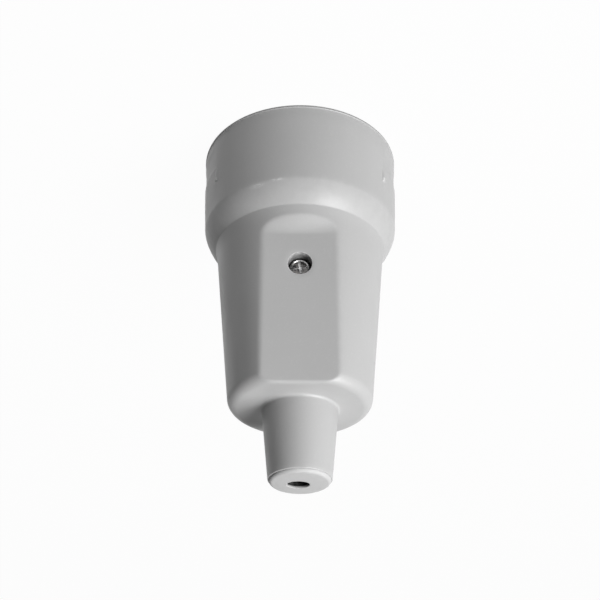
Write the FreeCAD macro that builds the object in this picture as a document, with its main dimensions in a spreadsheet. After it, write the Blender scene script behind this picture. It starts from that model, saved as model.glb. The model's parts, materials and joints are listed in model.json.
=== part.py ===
import FreeCAD, Part
import math
import os
import re
import Sketcher

# In-line earthed cable socket, standing on its mouth: the mouth rim lies in the plane z = 0,
# the cable neck points up along +Z, and the flat with the housing screw faces -Y.
# All lengths are millimetres.

SIZES = {
    # plug well and insert
    "well_radius": 19.5,
    "well_depth": 17.5,
    "well_lead": 0.7,
    "skirt_wall": 2.0,
    "skirt_tail": 2.5,
    "insert_recess": 0.5,
    "insert_clearance": 0.15,
    "face_thickness": 3.0,
    "rib_width": 4.6,
    "rib_height": 2.2,
    "rib_setback": 3.0,
    "pin_spacing": 19.0,
    "pin_hole_radius": 2.75,
    "pin_hole_lead": 0.6,
    # housing
    "mouth_wall": 3.55,
    "back_wall": 2.75,
    "rim_round": 0.5,
    "shoulder_lead": 1.4,
    "shoulder_step": 3.25,
    "shoulder_length": 5.34,
    "shoulder_round": 12.5,
    "shoulder_edge_round": 4.0,
    "crease_round": 0.7,
    "grip_length": 44.2,
    "grip_back_radius": 16.9,
    "grip_wall": 2.8,
    "end_wall": 3.0,
    "end_round": 2.7,
    "flat_inset": 2.1,
    "flat_cove": 5.5,
    "flat_start": 7.0,
    "flat_edge_round": 1.4,
    "neck_root_radius": 9.0,
    "neck_tip_radius": 7.35,
    "neck_length": 17.4,
    "neck_root_round": 1.3,
    # cable bush
    "bush_bore_radius": 5.5,
    "bush_clearance": 0.1,
    "bush_flange": 0.95,
    "bush_setback": 0.3,
    "bush_edge_round": 0.7,
    "bush_lip": 0.7,
    "bush_lip_length": 1.6,
    "cable_hole_radius": 2.55,
    "cable_hole_lead": 0.2,
    "throat_length": 1.2,
    "passage_radius": 4.2,
    # housing screw, its recess in the flat and its nut
    "screw_drop": 14.6,
    "screw_head_radius": 2.55,
    "screw_head_height": 1.9,
    "screw_head_depth": 2.1,
    "recess_clearance": 0.3,
    "boss_wall": 1.9,
    "boss_floor": 1.8,
    "machine_screw_radius": 1.5,
    "screw_clearance": 0.15,
    "thread_clearance": 0.03,
    "head_round": 0.75,
    "drive_width": 0.8,
    "drive_depth": 1.1,
    "drive_rim": 1.0,
    "nut_width": 5.5,
    "nut_thickness": 2.4,
    "nut_clearance": 0.1,
    # contacts
    "contact_bore_radius": 2.4,
    "contact_wall": 0.9,
    "contact_play": 0.2,
    "collar_height": 0.4,
    "collar_length": 1.5,
    "finger_root": 0.8,
    "finger_slot": 0.8,
    "contact_core": 2.3,
    "wire_hole_radius": 1.6,
    "wire_hole_depth": 6.0,
    "spring_setback": 2.5,
    "spring_width": 4.0,
    "spring_thickness": 0.42,
    "spring_seat_depth": 0.3,
    "spring_gap_angle": 24.0,
    # earth stirrup and terminal
    "strip_width": 6.0,
    "strip_thickness": 0.8,
    "strip_clearance": 0.15,
    "strip_bend": 0.6,
    "channel_depth": 1.05,
    "channel_start": 3.0,
    "clip_reach": 2.4,
    "clip_foot": 2.0,
    "clip_crest": 9.0,
    "clip_tip": 1.2,
    "rivet_radius": 1.5,
    "rivet_head_radius": 2.3,
    "rivet_head_height": 0.55,
    "earth_offset": 5.5,
    # contact carrier
    "base_thickness": 4.5,
    "carrier_clearance": 0.45,
    "chamber_wall": 1.4,
    "chamber_stop": 15.0,
    "chamber_clearance": 0.1,
    "web_thickness": 4.8,
    "lug_width": 8.6,
    "lug_height": 8.6,
    "lug_gap": 0.2,
    "tongue_gap": 3.0,
    "tongue_thickness": 6.5,
    "wire_trough": 5.5,
    # screws of the carrier and the terminals
    "carrier_screw_x": 8.6,
    "carrier_screw_y": 10.6,
    "carrier_boss_radius": 2.6,
    "tapping_screw_radius": 1.2,
    "tapping_head_radius": 2.2,
    "tapping_head_height": 1.5,
    "blind_floor": 1.0,
    "terminal_setback": 3.2,
    "terminal_screw_radius": 1.2,
    "terminal_head_radius": 1.9,
    "terminal_head_height": 1.5,
    "terminal_bite": 0.6,
    "access_clearance": 0.3,
    # cord clamp
    "clamp_inset": 7.5,
    "clamp_width": 8.0,
    "clamp_rim": 1.0,
    "clamp_foot": 3.2,
    "clamp_wall": 2.0,
    "clamp_head_radius": 2.5,
    "clamp_head_height": 1.9,
}

# Places that follow from the sizes, each written with the names above it.
PLACES = {
    "skirt_radius": "well_radius + skirt_wall",
    "bore_radius": "skirt_radius + insert_clearance",
    "mouth_radius": "bore_radius + mouth_wall",
    "back_radius": "bore_radius + back_wall",
    "face_z": "insert_recess + well_depth",
    "face_back": "face_z + face_thickness",
    "seat_z": "face_back + skirt_tail",
    "barrel_end": "seat_z - shoulder_lead",
    "grip_front_radius": "back_radius - shoulder_step",
    "shoulder_z": "barrel_end + shoulder_length",
    "end_z": "shoulder_z + grip_length",
    "cavity_end": "end_z - end_wall",
    "neck_end_z": "end_z + neck_length",
    "tip_z": "neck_end_z + bush_flange",
    "grip_slope": "(grip_front_radius - grip_back_radius) / grip_length",
    "grip_lean": "atan(grip_slope)",
    "flat_foot_z": "shoulder_z + flat_start",
    "flat_half_width": "sqrt(2 * grip_front_radius * flat_inset - flat_inset ^ 2)",
    "stem_radius": "bush_bore_radius - bush_clearance",
    "screw_z": "shoulder_z + screw_drop",
    "screw_flat": "grip_front_radius - grip_slope * screw_drop - flat_inset",
    "recess_radius": "screw_head_radius + recess_clearance",
    "head_seat": "screw_flat - screw_head_depth - screw_head_height",
    "boss_end": "head_seat - boss_floor",
    "contact_radius": "contact_bore_radius + contact_wall",
    "collar_radius": "contact_radius + collar_height",
    "chamber_radius": "collar_radius + chamber_clearance",
    "tail_bore_radius": "contact_radius + chamber_clearance",
    "chamber_outer": "chamber_radius + chamber_wall",
    "carrier_radius": "grip_front_radius - flat_inset - grip_wall - carrier_clearance",
    "stop_z": "face_back + chamber_stop",
    "pin_bore_end": "stop_z + collar_length",
    "wire_hole_end": "pin_bore_end + contact_core",
    "contact_front": "face_back + contact_play",
    "contact_back": "wire_hole_end + wire_hole_depth",
    "carrier_back": "contact_back + contact_play",
    "chamber_length": "carrier_back - face_back",
    "tongue_end": "cavity_end - bush_lip_length - tongue_gap",
    "tongue_length": "tongue_end - carrier_back",
    "terminal_z": "carrier_back - terminal_setback",
    "bar_front": "face_back + rivet_head_height + strip_clearance",
    "bar_back": "bar_front + strip_thickness",
    "clip_root": "well_radius + channel_depth - strip_clearance - strip_thickness",
    "lug_face": "boss_end - lug_gap",
    "nut_front": "lug_face - (lug_face - web_thickness / 2 - nut_thickness) / 2",
    "clamp_z": "tongue_end - clamp_inset",
    "arch_radius": "passage_radius + clamp_wall",
    "arch_foot": "sqrt(arch_radius ^ 2 - clamp_foot ^ 2)",
    "clamp_screw_x": "arch_foot + clamp_head_radius + screw_clearance",
    "clamp_half_width": "clamp_screw_x + nut_width / 2 + nut_clearance + clamp_rim",
}

doc = FreeCAD.newDocument("CableSocket")
sizes = doc.addObject("Spreadsheet::Sheet", "Sizes")
places = doc.addObject("Spreadsheet::Sheet", "Places")
for row, (alias, number) in enumerate(SIZES.items(), start=1):
    sizes.set(f"A{row}", alias)
    sizes.set(f"B{row}", str(number))
    sizes.setAlias(f"B{row}", alias)
doc.recompute()

OWNER = {alias: f"Sizes.{alias}" for alias in SIZES}
OWNER.update({alias: f"Places.{alias}" for alias in PLACES})


def tie(words):
    """The expression for a formula written in the names of the sheets' cells."""
    return re.sub(r"[A-Za-z_]\w*", lambda found: OWNER.get(found.group(), found.group()), words)


def value(words):
    """The present value of such a formula, in millimetres or degrees."""
    result = sizes.evalExpression(tie(words))
    return float(getattr(result, "Value", result))


for row, (alias, words) in enumerate(PLACES.items(), start=1):
    places.set(f"A{row}", alias)
    places.set(f"B{row}", "=" + tie(words))
    places.setAlias(f"B{row}", alias)
    doc.recompute()

pieces = []


def new_body(label):
    """An empty body for one moulded, turned or bent piece."""
    body = doc.addObject("PartDesign::Body", label)
    body.Label = label
    return body


def place(body, across="0", back="0", up="0"):
    """Moves a finished body to a place given by formulas."""
    for axis, words in zip("xyz", (across, back, up)):
        body.setExpression(f"Placement.Base.{axis}", tie(words))


def sketch_on(body, name, role, lift="0"):
    """An empty sketch on an origin plane of the body, lifted along that plane's normal."""
    plane = next(item for item in body.Origin.OriginFeatures if item.Role == role)
    sketch = body.newObject("Sketcher::SketchObject", name)
    sketch.AttachmentSupport = (plane, [""])
    sketch.MapMode = "FlatFace"
    sketch.setExpression("AttachmentOffset.Base.z", tie(lift))
    return sketch


def pin_point(sketch, geometry, end, across, along):
    """Ties one point of a sketch to formulas for its two coordinates."""
    for kind, axis, words in (("DistanceX", -2, across), ("DistanceY", -1, along)):
        if words == "0":
            sketch.addConstraint(Sketcher.Constraint("PointOnObject", geometry, end, axis))
        else:
            index = sketch.addConstraint(
                Sketcher.Constraint(kind, -1, 1, geometry, end, value(words)))
            sketch.setExpression(f"Constraints[{index}]", tie(words))


def tie_radius(sketch, geometry, words):
    """Ties the radius of a circle or an arc to a formula."""
    index = sketch.addConstraint(Sketcher.Constraint("Radius", geometry, value(words)))
    sketch.setExpression(f"Constraints[{index}]", tie(words))


def arc_between(start, finish, radius):
    """The shorter arc from start to finish. A positive radius turns left, a negative one right."""
    chord = finish - start
    middle = (start + finish) * 0.5
    left = FreeCAD.Vector(-chord.y, chord.x, 0).normalize()
    rise = math.sqrt(max(radius ** 2 - (chord.Length / 2) ** 2, 0))
    centre = middle + left * math.copysign(rise, radius)
    first, last = (start, finish) if radius > 0 else (finish, start)
    angles = [math.atan2(point.y - centre.y, point.x - centre.x) for point in (first, last)]
    circle = Part.Circle(centre, FreeCAD.Vector(0, 0, 1), abs(radius))
    return Part.ArcOfCircle(circle, *angles)


def outline(sketch, corners):
    """A closed loop through corners, each a pair of formulas. A third entry is the formula for the
    radius of an arc that leaves the corner, with a minus sign in front where it turns right."""
    points = [FreeCAD.Vector(value(corner[0]), value(corner[1]), 0) for corner in corners]
    ends = []
    for index, corner in enumerate(corners):
        start = points[index]
        finish = points[(index + 1) % len(points)]
        if len(corner) == 2:
            geometry = sketch.addGeometry(Part.LineSegment(start, finish), False)
            ends.append((geometry, 1, 2))
        else:
            radius = value(corner[2])
            geometry = sketch.addGeometry(arc_between(start, finish, radius), False)
            ends.append((geometry, 1, 2) if radius > 0 else (geometry, 2, 1))
            tie_radius(sketch, geometry, corner[2].lstrip("-"))
    for index, (geometry, start, finish) in enumerate(ends):
        following, following_start, _ = ends[(index + 1) % len(ends)]
        sketch.addConstraint(
            Sketcher.Constraint("Coincident", geometry, finish, following, following_start))
        pin_point(sketch, geometry, start, *corners[index][:2])


def rectangle(sketch, left, bottom, right, top):
    """A closed rectangle between two opposite corners."""
    outline(sketch, [(left, bottom), (right, bottom), (right, top), (left, top)])


def ring(sketch, across, along, radius):
    """A full circle about a point."""
    centre = FreeCAD.Vector(value(across), value(along), 0)
    circle = Part.Circle(centre, FreeCAD.Vector(0, 0, 1), value(radius))
    geometry = sketch.addGeometry(circle, False)
    tie_radius(sketch, geometry, radius)
    pin_point(sketch, geometry, 3, across, along)


def revolve(body, sketch, turn="360"):
    """Turns a half profile about the body's Z axis."""
    feature = body.newObject("PartDesign::Revolution", sketch.Name + "_turned")
    feature.Profile = sketch
    feature.ReferenceAxis = (sketch, ["V_Axis"])
    feature.setExpression("Angle", tie(turn))
    doc.recompute()
    return feature


def extrude(body, kind, sketch, length, both_ways=False, backwards=False):
    """Pads or pockets a sketch by a length, and checks that it changed the solid."""
    before = body.Shape.Volume if not body.Shape.isNull() else 0
    feature = body.newObject(f"PartDesign::{kind}", f"{sketch.Name}_{kind.lower()}")
    feature.Profile = sketch
    feature.setExpression("Length", tie(length))
    feature.Midplane = both_ways
    feature.Reversed = backwards
    doc.recompute()
    if abs(body.Shape.Volume - before) < 1e-6:
        raise RuntimeError(f"{feature.Name} changes nothing")
    return feature


def dress(body, kind, base, edges, words):
    """A fillet or chamfer on named edges of the feature before it."""
    if not edges:
        raise RuntimeError(f"no edge to {kind.lower()} on {base.Name}")
    feature = body.newObject(f"PartDesign::{kind}", f"{base.Name}_{kind.lower()}")
    feature.Base = (base, edges)
    feature.setExpression("Radius" if kind == "Fillet" else "Size", tie(words))
    doc.recompute()
    return feature


def edges_where(feature, test):
    """Names of the feature's edges that pass a test."""
    return [f"Edge{index}" for index, edge in enumerate(feature.Shape.Edges, start=1) if test(edge)]


def circle_at(radius, height, across="0", along="0"):
    """A test for a level circular edge of a given radius, height and centre."""
    centre = FreeCAD.Vector(value(across), value(along), value(height))

    def test(edge):
        curve = edge.Curve
        if not isinstance(curve, Part.Circle):
            return False
        return abs(curve.Radius - value(radius)) < 1e-4 and curve.Center.isEqual(centre, 1e-4)

    return test


def grip_at(height):
    """The formula for the round grip's radius at a height."""
    return f"(grip_front_radius - grip_slope * ({height} - shoulder_z))"


def on_flat(face):
    """Tells whether a face is one of the grip's two outer flats, by the place of its middle."""
    middle = face.CenterOfMass
    depth = value(grip_at(str(middle.z)) + " - flat_inset") - abs(middle.y)
    return isinstance(face.Surface, Part.Plane) and abs(depth) < 1e-3


def rim_of(faces):
    """A test for the edges round some faces, apart from those where a neighbour runs on smoothly."""
    def test(edge):
        return any(edge.isSame(other) for face in faces for other in face.Edges
                   if not isinstance(other.Curve, Part.Line))

    return test


def make_housing():
    """One moulding: barrel, rounded shoulder, conical grip with a flat front and back, and neck."""
    body = new_body("housing")
    profile = sketch_on(body, "housing_profile", "XZ_Plane")
    outline(profile, [
        ("bore_radius", "0"),
        ("mouth_radius", "0"),
        ("back_radius", "barrel_end", "shoulder_round"),
        ("grip_front_radius", "shoulder_z"),
        ("grip_back_radius", "end_z"),
        ("neck_root_radius", "end_z"),
        ("neck_tip_radius", "neck_end_z"),
        ("bush_bore_radius", "neck_end_z"),
        ("bush_bore_radius", "cavity_end"),
        (grip_at("cavity_end") + " - grip_wall", "cavity_end"),
        (grip_at("seat_z") + " - grip_wall", "seat_z"),
        ("bore_radius", "seat_z"),
    ])
    shell = revolve(body, profile)
    for words, radius, height in (
            ("rim_round", "mouth_radius", "0"),
            ("shoulder_edge_round", "back_radius", "barrel_end"),
            ("crease_round", "grip_front_radius", "shoulder_z"),
            ("end_round", "grip_back_radius", "end_z"),
            ("neck_root_round", "neck_root_radius", "end_z")):
        shell = dress(body, "Fillet", shell, edges_where(shell, circle_at(radius, height)), words)

    # flat inner faces, so that the wall keeps its thickness behind the outer flats
    backing = sketch_on(body, "flat_backing", "YZ_Plane")
    inner = {height: grip_at(height) + " - flat_inset - grip_wall"
             for height in ("seat_z", "cavity_end")}
    for side in ("-", ""):
        outline(backing, [
            (f"{side}({inner['seat_z']})", "seat_z"),
            (f"{side}({inner['cavity_end']})", "cavity_end"),
            (f"{side}({inner['cavity_end']} + (grip_wall + flat_inset) / 2)", "cavity_end"),
            (f"{side}({inner['seat_z']} + (grip_wall + flat_inset) / 2)", "seat_z"),
        ])
    extrude(body, "Pad", backing, "2 * flat_half_width", both_ways=True)

    # outer flats, each with a cove where it runs out under the shoulder
    flats = sketch_on(body, "grip_flats", "YZ_Plane")
    far_z = "(end_z + end_wall)"
    foot = grip_at("flat_foot_z") + " - flat_inset"
    far = grip_at(far_z) + " - flat_inset"
    cove_out = "flat_cove * (cos(grip_lean) + sin(grip_lean))"
    cove_back = "flat_cove * (cos(grip_lean) - sin(grip_lean))"
    for side, turn in (("-", ""), ("", "-")):
        outline(flats, [
            (f"{side}({foot} + {cove_out})", f"flat_foot_z - {cove_back}", turn + "flat_cove"),
            (f"{side}({foot})", "flat_foot_z"),
            (f"{side}({far})", far_z),
            (f"{side}({far} + mouth_radius)", far_z),
            (f"{side}({foot} + mouth_radius)", f"flat_foot_z - {cove_back}"),
        ])
    faced = extrude(body, "Pocket", flats, "2 * mouth_radius", both_ways=True)
    outer_flats = [face for face in faced.Shape.Faces if on_flat(face)]
    dress(body, "Fillet", faced, edges_where(faced, rim_of(outer_flats)), "flat_edge_round")

    # boss and stepped hole for the housing screw, square to the axis
    boss = sketch_on(body, "screw_boss", "XZ_Plane", "boss_end")
    ring(boss, "0", "screw_z", "recess_radius + boss_wall")
    extrude(body, "Pad", boss, "screw_flat - grip_wall / 2 - boss_end")
    recess = sketch_on(body, "screw_recess", "XZ_Plane", "head_seat")
    ring(recess, "0", "screw_z", "recess_radius")
    extrude(body, "Pocket", recess, "mouth_radius", backwards=True)
    hole = sketch_on(body, "screw_hole", "XZ_Plane", "head_seat")
    ring(hole, "0", "screw_z", "machine_screw_radius + screw_clearance")
    extrude(body, "Pocket", hole, "boss_floor")
    pieces.append(body)


def make_cable_bush():
    """Soft bush in the neck: flange outside, lip behind the end wall, tight throat for the cable."""
    body = new_body("cable_bush")
    profile = sketch_on(body, "bush_profile", "XZ_Plane")
    outline(profile, [
        ("cable_hole_radius", "tip_z"),
        ("cable_hole_radius", "tip_z - throat_length"),
        ("passage_radius", "tip_z - throat_length - (passage_radius - cable_hole_radius)"),
        ("passage_radius", "cavity_end - bush_lip_length"),
        ("stem_radius", "cavity_end - bush_lip_length"),
        ("bush_bore_radius + bush_lip", "cavity_end"),
        ("stem_radius", "cavity_end"),
        ("stem_radius", "neck_end_z"),
        ("neck_tip_radius - bush_setback", "neck_end_z"),
        ("neck_tip_radius - bush_setback", "tip_z"),
    ])
    bush = revolve(body, profile)
    rim = edges_where(bush, circle_at("neck_tip_radius - bush_setback", "tip_z"))
    bush = dress(body, "Fillet", bush, rim, "bush_edge_round")
    lip = edges_where(bush, circle_at("cable_hole_radius", "tip_z"))
    dress(body, "Chamfer", bush, lip, "cable_hole_lead")
    pieces.append(body)


def make_socket_insert():
    """Cup with the plug well: pin holes, two guide ribs and two channels for the earth clips."""
    body = new_body("socket_insert")
    profile = sketch_on(body, "insert_profile", "XZ_Plane")
    outline(profile, [
        ("0", "face_z"),
        ("well_radius", "face_z"),
        ("well_radius", "insert_recess"),
        ("skirt_radius", "insert_recess"),
        ("skirt_radius", "seat_z"),
        ("well_radius", "seat_z"),
        ("well_radius", "face_back"),
        ("0", "face_back"),
    ])
    cup = revolve(body, profile)
    dress(body, "Chamfer", cup, edges_where(cup, circle_at("well_radius", "insert_recess")), "well_lead")

    ribs = sketch_on(body, "guide_ribs", "XY_Plane", "face_z")
    for side in ("-", ""):
        rectangle(ribs, f"{side}(well_radius - rib_height)", "-rib_width / 2",
                  f"{side}(well_radius + skirt_wall / 2)", "rib_width / 2")
    extrude(body, "Pad", ribs, "well_depth - rib_setback", backwards=True)

    bosses = sketch_on(body, "screw_bosses", "XY_Plane", "face_back")
    for side in ("-", ""):
        ring(bosses, f"{side}carrier_screw_x", f"{side}carrier_screw_y", "carrier_boss_radius")
    extrude(body, "Pad", bosses, "skirt_tail")
    holes = sketch_on(body, "boss_holes", "XY_Plane", "seat_z")
    for side in ("-", ""):
        ring(holes, f"{side}carrier_screw_x", f"{side}carrier_screw_y",
             "tapping_screw_radius + thread_clearance")
    extrude(body, "Pocket", holes, "skirt_tail + face_thickness - blind_floor")

    channels = sketch_on(body, "earth_channels", "XY_Plane", "seat_z")
    for side in ("-", ""):
        rectangle(channels, "-(strip_width / 2 + strip_clearance)",
                  f"{side}(clip_root - strip_thickness)",
                  "strip_width / 2 + strip_clearance", f"{side}(well_radius + channel_depth)")
    extrude(body, "Pocket", channels, "seat_z - insert_recess - channel_start")

    pin_holes = sketch_on(body, "pin_holes", "XY_Plane", "face_back")
    for side in ("-", ""):
        ring(pin_holes, f"{side}pin_spacing / 2", "0", "pin_hole_radius")
    drilled = extrude(body, "Pocket", pin_holes, "face_thickness")
    mouths = []
    for side in ("-", ""):
        mouths += edges_where(drilled, circle_at("pin_hole_radius", "face_z", f"{side}pin_spacing / 2"))
    dress(body, "Chamfer", drilled, mouths, "pin_hole_lead")
    pieces.append(body)


def make_contact_carrier():
    """Moulded block behind the insert: chambers, web, nut lug and the tongue under the cable."""
    body = new_body("contact_carrier")
    base = sketch_on(body, "carrier_base", "XY_Plane", "face_back")
    ring(base, "0", "0", "carrier_radius")
    extrude(body, "Pad", base, "base_thickness")
    chambers = sketch_on(body, "contact_chambers", "XY_Plane", "face_back")
    for side in ("-", ""):
        ring(chambers, f"{side}pin_spacing / 2", "0", "chamber_outer")
    extrude(body, "Pad", chambers, "chamber_length")
    web = sketch_on(body, "centre_web", "XY_Plane", "face_back")
    rectangle(web, "-pin_spacing / 2", "-web_thickness / 2", "pin_spacing / 2", "web_thickness / 2")
    extrude(body, "Pad", web, "chamber_length")
    earth_chamber = sketch_on(body, "earth_chamber", "XY_Plane", "face_back")
    ring(earth_chamber, "0", "earth_offset", "tail_bore_radius + chamber_wall")
    extrude(body, "Pad", earth_chamber, "chamber_length")
    lug = sketch_on(body, "nut_lug", "XY_Plane", "screw_z - lug_height / 2")
    rectangle(lug, "-lug_width / 2", "-lug_face", "lug_width / 2", "0")
    extrude(body, "Pad", lug, "lug_height")

    # tongue: a slice of a cone that keeps clear of the grip's inner wall
    cone = sketch_on(body, "tongue_cone", "XZ_Plane")
    outline(cone, [
        ("0", "carrier_back"),
        (grip_at("carrier_back") + " - grip_wall - carrier_clearance", "carrier_back"),
        (grip_at("tongue_end") + " - grip_wall - carrier_clearance", "tongue_end"),
        ("0", "tongue_end"),
    ])
    revolve(body, cone)
    beside = sketch_on(body, "beside_tongue", "XY_Plane", "carrier_back")
    rectangle(beside, "-mouth_radius", "0", "mouth_radius", "mouth_radius")
    rectangle(beside, "-mouth_radius", "-mouth_radius", "mouth_radius", "-tongue_thickness")
    extrude(body, "Pocket", beside, "tongue_length", backwards=True)
    trough = sketch_on(body, "cable_trough", "XY_Plane", "carrier_back")
    ring(trough, "0", "0", "passage_radius")
    extrude(body, "Pocket", trough, "tongue_length", backwards=True)
    wire_troughs = sketch_on(body, "wire_troughs", "XY_Plane", "carrier_back")
    for side in ("-", ""):
        ring(wire_troughs, f"{side}pin_spacing / 2", "0", "tail_bore_radius")
    extrude(body, "Pocket", wire_troughs, "wire_trough", backwards=True)
    bores = sketch_on(body, "chamber_bores", "XY_Plane", "face_back")
    for side in ("-", ""):
        ring(bores, f"{side}pin_spacing / 2", "0", "chamber_radius")
    extrude(body, "Pocket", bores, "chamber_stop", backwards=True)
    tails = sketch_on(body, "tail_bores", "XY_Plane", "carrier_back")
    for side in ("-", ""):
        ring(tails, f"{side}pin_spacing / 2", "0", "tail_bore_radius")
    ring(tails, "0", "earth_offset", "tail_bore_radius")
    extrude(body, "Pocket", tails, "chamber_length")
    groove = sketch_on(body, "stirrup_groove", "XY_Plane", "face_back")
    rectangle(groove, "-(strip_width / 2 + strip_clearance)", "-carrier_radius",
              "strip_width / 2 + strip_clearance", "carrier_radius")
    extrude(body, "Pocket", groove, "bar_back - face_back", backwards=True)

    counterbores = sketch_on(body, "boss_sockets", "XY_Plane", "face_back")
    for side in ("-", ""):
        ring(counterbores, f"{side}carrier_screw_x", f"{side}carrier_screw_y",
             "carrier_boss_radius + carrier_clearance / 2")
    extrude(body, "Pocket", counterbores, "skirt_tail", backwards=True)
    screw_holes = sketch_on(body, "carrier_screw_holes", "XY_Plane", "face_back")
    for side in ("-", ""):
        ring(screw_holes, f"{side}carrier_screw_x", f"{side}carrier_screw_y",
             "tapping_screw_radius + screw_clearance")
    extrude(body, "Pocket", screw_holes, "base_thickness", backwards=True)

    access = sketch_on(body, "terminal_access", "XZ_Plane")
    for across in ("-pin_spacing / 2", "0", "pin_spacing / 2"):
        ring(access, across, "terminal_z", "terminal_head_radius + access_clearance")
    extrude(body, "Pocket", access, "earth_offset + chamber_outer")

    nut_slot = sketch_on(body, "nut_slot", "XZ_Plane", "nut_front - nut_thickness - nut_clearance")
    rectangle(nut_slot, "-(nut_width / 2 + nut_clearance)", "screw_z - nut_width / 2 - nut_clearance",
              "nut_width / 2 + nut_clearance", "screw_z + lug_height")
    extrude(body, "Pocket", nut_slot, "nut_thickness + 2 * nut_clearance", backwards=True)
    nut_hole = sketch_on(body, "nut_lug_hole", "XZ_Plane", "web_thickness / 2")
    ring(nut_hole, "0", "screw_z", "machine_screw_radius + screw_clearance")
    extrude(body, "Pocket", nut_hole, "lug_face", backwards=True)

    clamp_holes = sketch_on(body, "clamp_screw_holes", "XZ_Plane")
    for side in ("-", ""):
        ring(clamp_holes, f"{side}clamp_screw_x", "clamp_z", "machine_screw_radius + screw_clearance")
    extrude(body, "Pocket", clamp_holes, "tongue_thickness", backwards=True)
    nut_pockets = sketch_on(body, "clamp_nut_pockets", "XZ_Plane", "tongue_thickness - nut_thickness")
    for side in ("-", ""):
        rectangle(nut_pockets, f"{side}clamp_screw_x - nut_width / 2 - nut_clearance",
                  "clamp_z - nut_width / 2 - nut_clearance",
                  f"{side}clamp_screw_x + nut_width / 2 + nut_clearance",
                  "clamp_z + nut_width / 2 + nut_clearance")
    extrude(body, "Pocket", nut_pockets, "nut_thickness", backwards=True)
    pieces.append(body)


def make_contact(label, side):
    """Turned sleeve: slotted bore for the plug's pin, collar, and a wire hole with its screw hole."""
    body = new_body(label)
    profile = sketch_on(body, f"{label}_profile", "XZ_Plane")
    spring_front = "contact_front + spring_setback"
    spring_back = f"{spring_front} + spring_width"
    outline(profile, [
        ("contact_bore_radius", "contact_front"),
        ("contact_radius", "contact_front"),
        ("contact_radius", spring_front),
        ("contact_radius - spring_seat_depth", spring_front),
        ("contact_radius - spring_seat_depth", spring_back),
        ("contact_radius", spring_back),
        ("contact_radius", "stop_z - collar_length"),
        ("collar_radius", "stop_z - collar_length"),
        ("collar_radius", "stop_z"),
        ("contact_radius", "stop_z"),
        ("contact_radius", "contact_back"),
        ("wire_hole_radius", "contact_back"),
        ("wire_hole_radius", "wire_hole_end"),
        ("0", "wire_hole_end"),
        ("0", "pin_bore_end"),
        ("contact_bore_radius", "pin_bore_end"),
    ])
    revolve(body, profile)
    for role in ("XZ_Plane", "YZ_Plane"):
        slot = sketch_on(body, f"{label}_slot_{role[:2].lower()}", role)
        rectangle(slot, "-finger_slot / 2", "contact_front", "finger_slot / 2",
                  "stop_z - collar_length - finger_root")
        extrude(body, "Pocket", slot, "4 * collar_radius", both_ways=True)
    screw_hole = sketch_on(body, f"{label}_screw_hole", "XZ_Plane")
    ring(screw_hole, "0", "terminal_z", "terminal_screw_radius + thread_clearance")
    extrude(body, "Pocket", screw_hole, "collar_radius")
    place(body, across=f"{side}pin_spacing / 2")
    pieces.append(body)


def make_contact_spring(label, side):
    """Open steel ring that presses the fingers of a sleeve together."""
    body = new_body(label)
    section = sketch_on(body, f"{label}_section", "XZ_Plane")
    inner = "contact_radius - spring_seat_depth + thread_clearance"
    front = "contact_front + spring_setback + thread_clearance"
    rectangle(section, inner, front, f"{inner} + spring_thickness",
              f"{front} + spring_width - 2 * thread_clearance")
    revolve(body, section, "360 - spring_gap_angle")
    place(body, across=f"{side}pin_spacing / 2")
    pieces.append(body)


def make_earth_stirrup():
    """Bent strip: a bar behind the well's face and two clips that bow into the well."""
    body = new_body("earth_stirrup")
    strip = sketch_on(body, "strip_outline", "YZ_Plane")
    root = "clip_root"
    crest = "(well_radius - clip_reach)"
    tip = f"({root} - strip_clearance)"
    foot_z = "(face_z - clip_foot)"
    crest_z = "(insert_recess + clip_crest)"
    tip_z = "(insert_recess + channel_start + clip_tip)"
    thick = "strip_thickness"
    outline(strip, [
        (f"-({root} + {thick})", "bar_back"),
        (f"-({root} + {thick})", foot_z),
        (f"-({crest} + {thick})", crest_z),
        (f"-({tip} + {thick})", tip_z),
        (f"-{tip}", tip_z),
        (f"-{crest}", crest_z),
        (f"-{root}", foot_z),
        (f"-{root}", "bar_front"),
        (root, "bar_front"),
        (root, foot_z),
        (crest, crest_z),
        (tip, tip_z),
        (f"{tip} + {thick}", tip_z),
        (f"{crest} + {thick}", crest_z),
        (f"{root} + {thick}", foot_z),
        (f"{root} + {thick}", "bar_back"),
    ])
    bent = extrude(body, "Pad", strip, "strip_width", both_ways=True)

    def bends(places_yz):
        spots = [FreeCAD.Vector(0, value(across), value(up)) for across, up in places_yz]

        def test(edge):
            middle = edge.CenterOfMass
            long_way = abs(edge.BoundBox.XLength - value("strip_width")) < 1e-4
            return long_way and any(middle.isEqual(spot, 1e-3) for spot in spots)

        return test

    inner_corners = [(f"{side}{root}", "bar_front") for side in ("-", "")]
    outer_corners = [(f"{side}({root} + {thick})", "bar_back") for side in ("-", "")]
    bows = [(f"{side}{crest}", crest_z) for side in ("-", "")]
    backs = [(f"{side}({crest} + {thick})", crest_z) for side in ("-", "")]
    bent = dress(body, "Fillet", bent, edges_where(bent, bends(inner_corners + backs)), "strip_bend")
    dress(body, "Fillet", bent, edges_where(bent, bends(outer_corners + bows)),
          "strip_bend + strip_thickness")
    hole = sketch_on(body, "rivet_hole", "XY_Plane", "bar_back")
    ring(hole, "0", "earth_offset", "rivet_radius + thread_clearance")
    extrude(body, "Pocket", hole, "strip_thickness")
    pieces.append(body)


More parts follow.
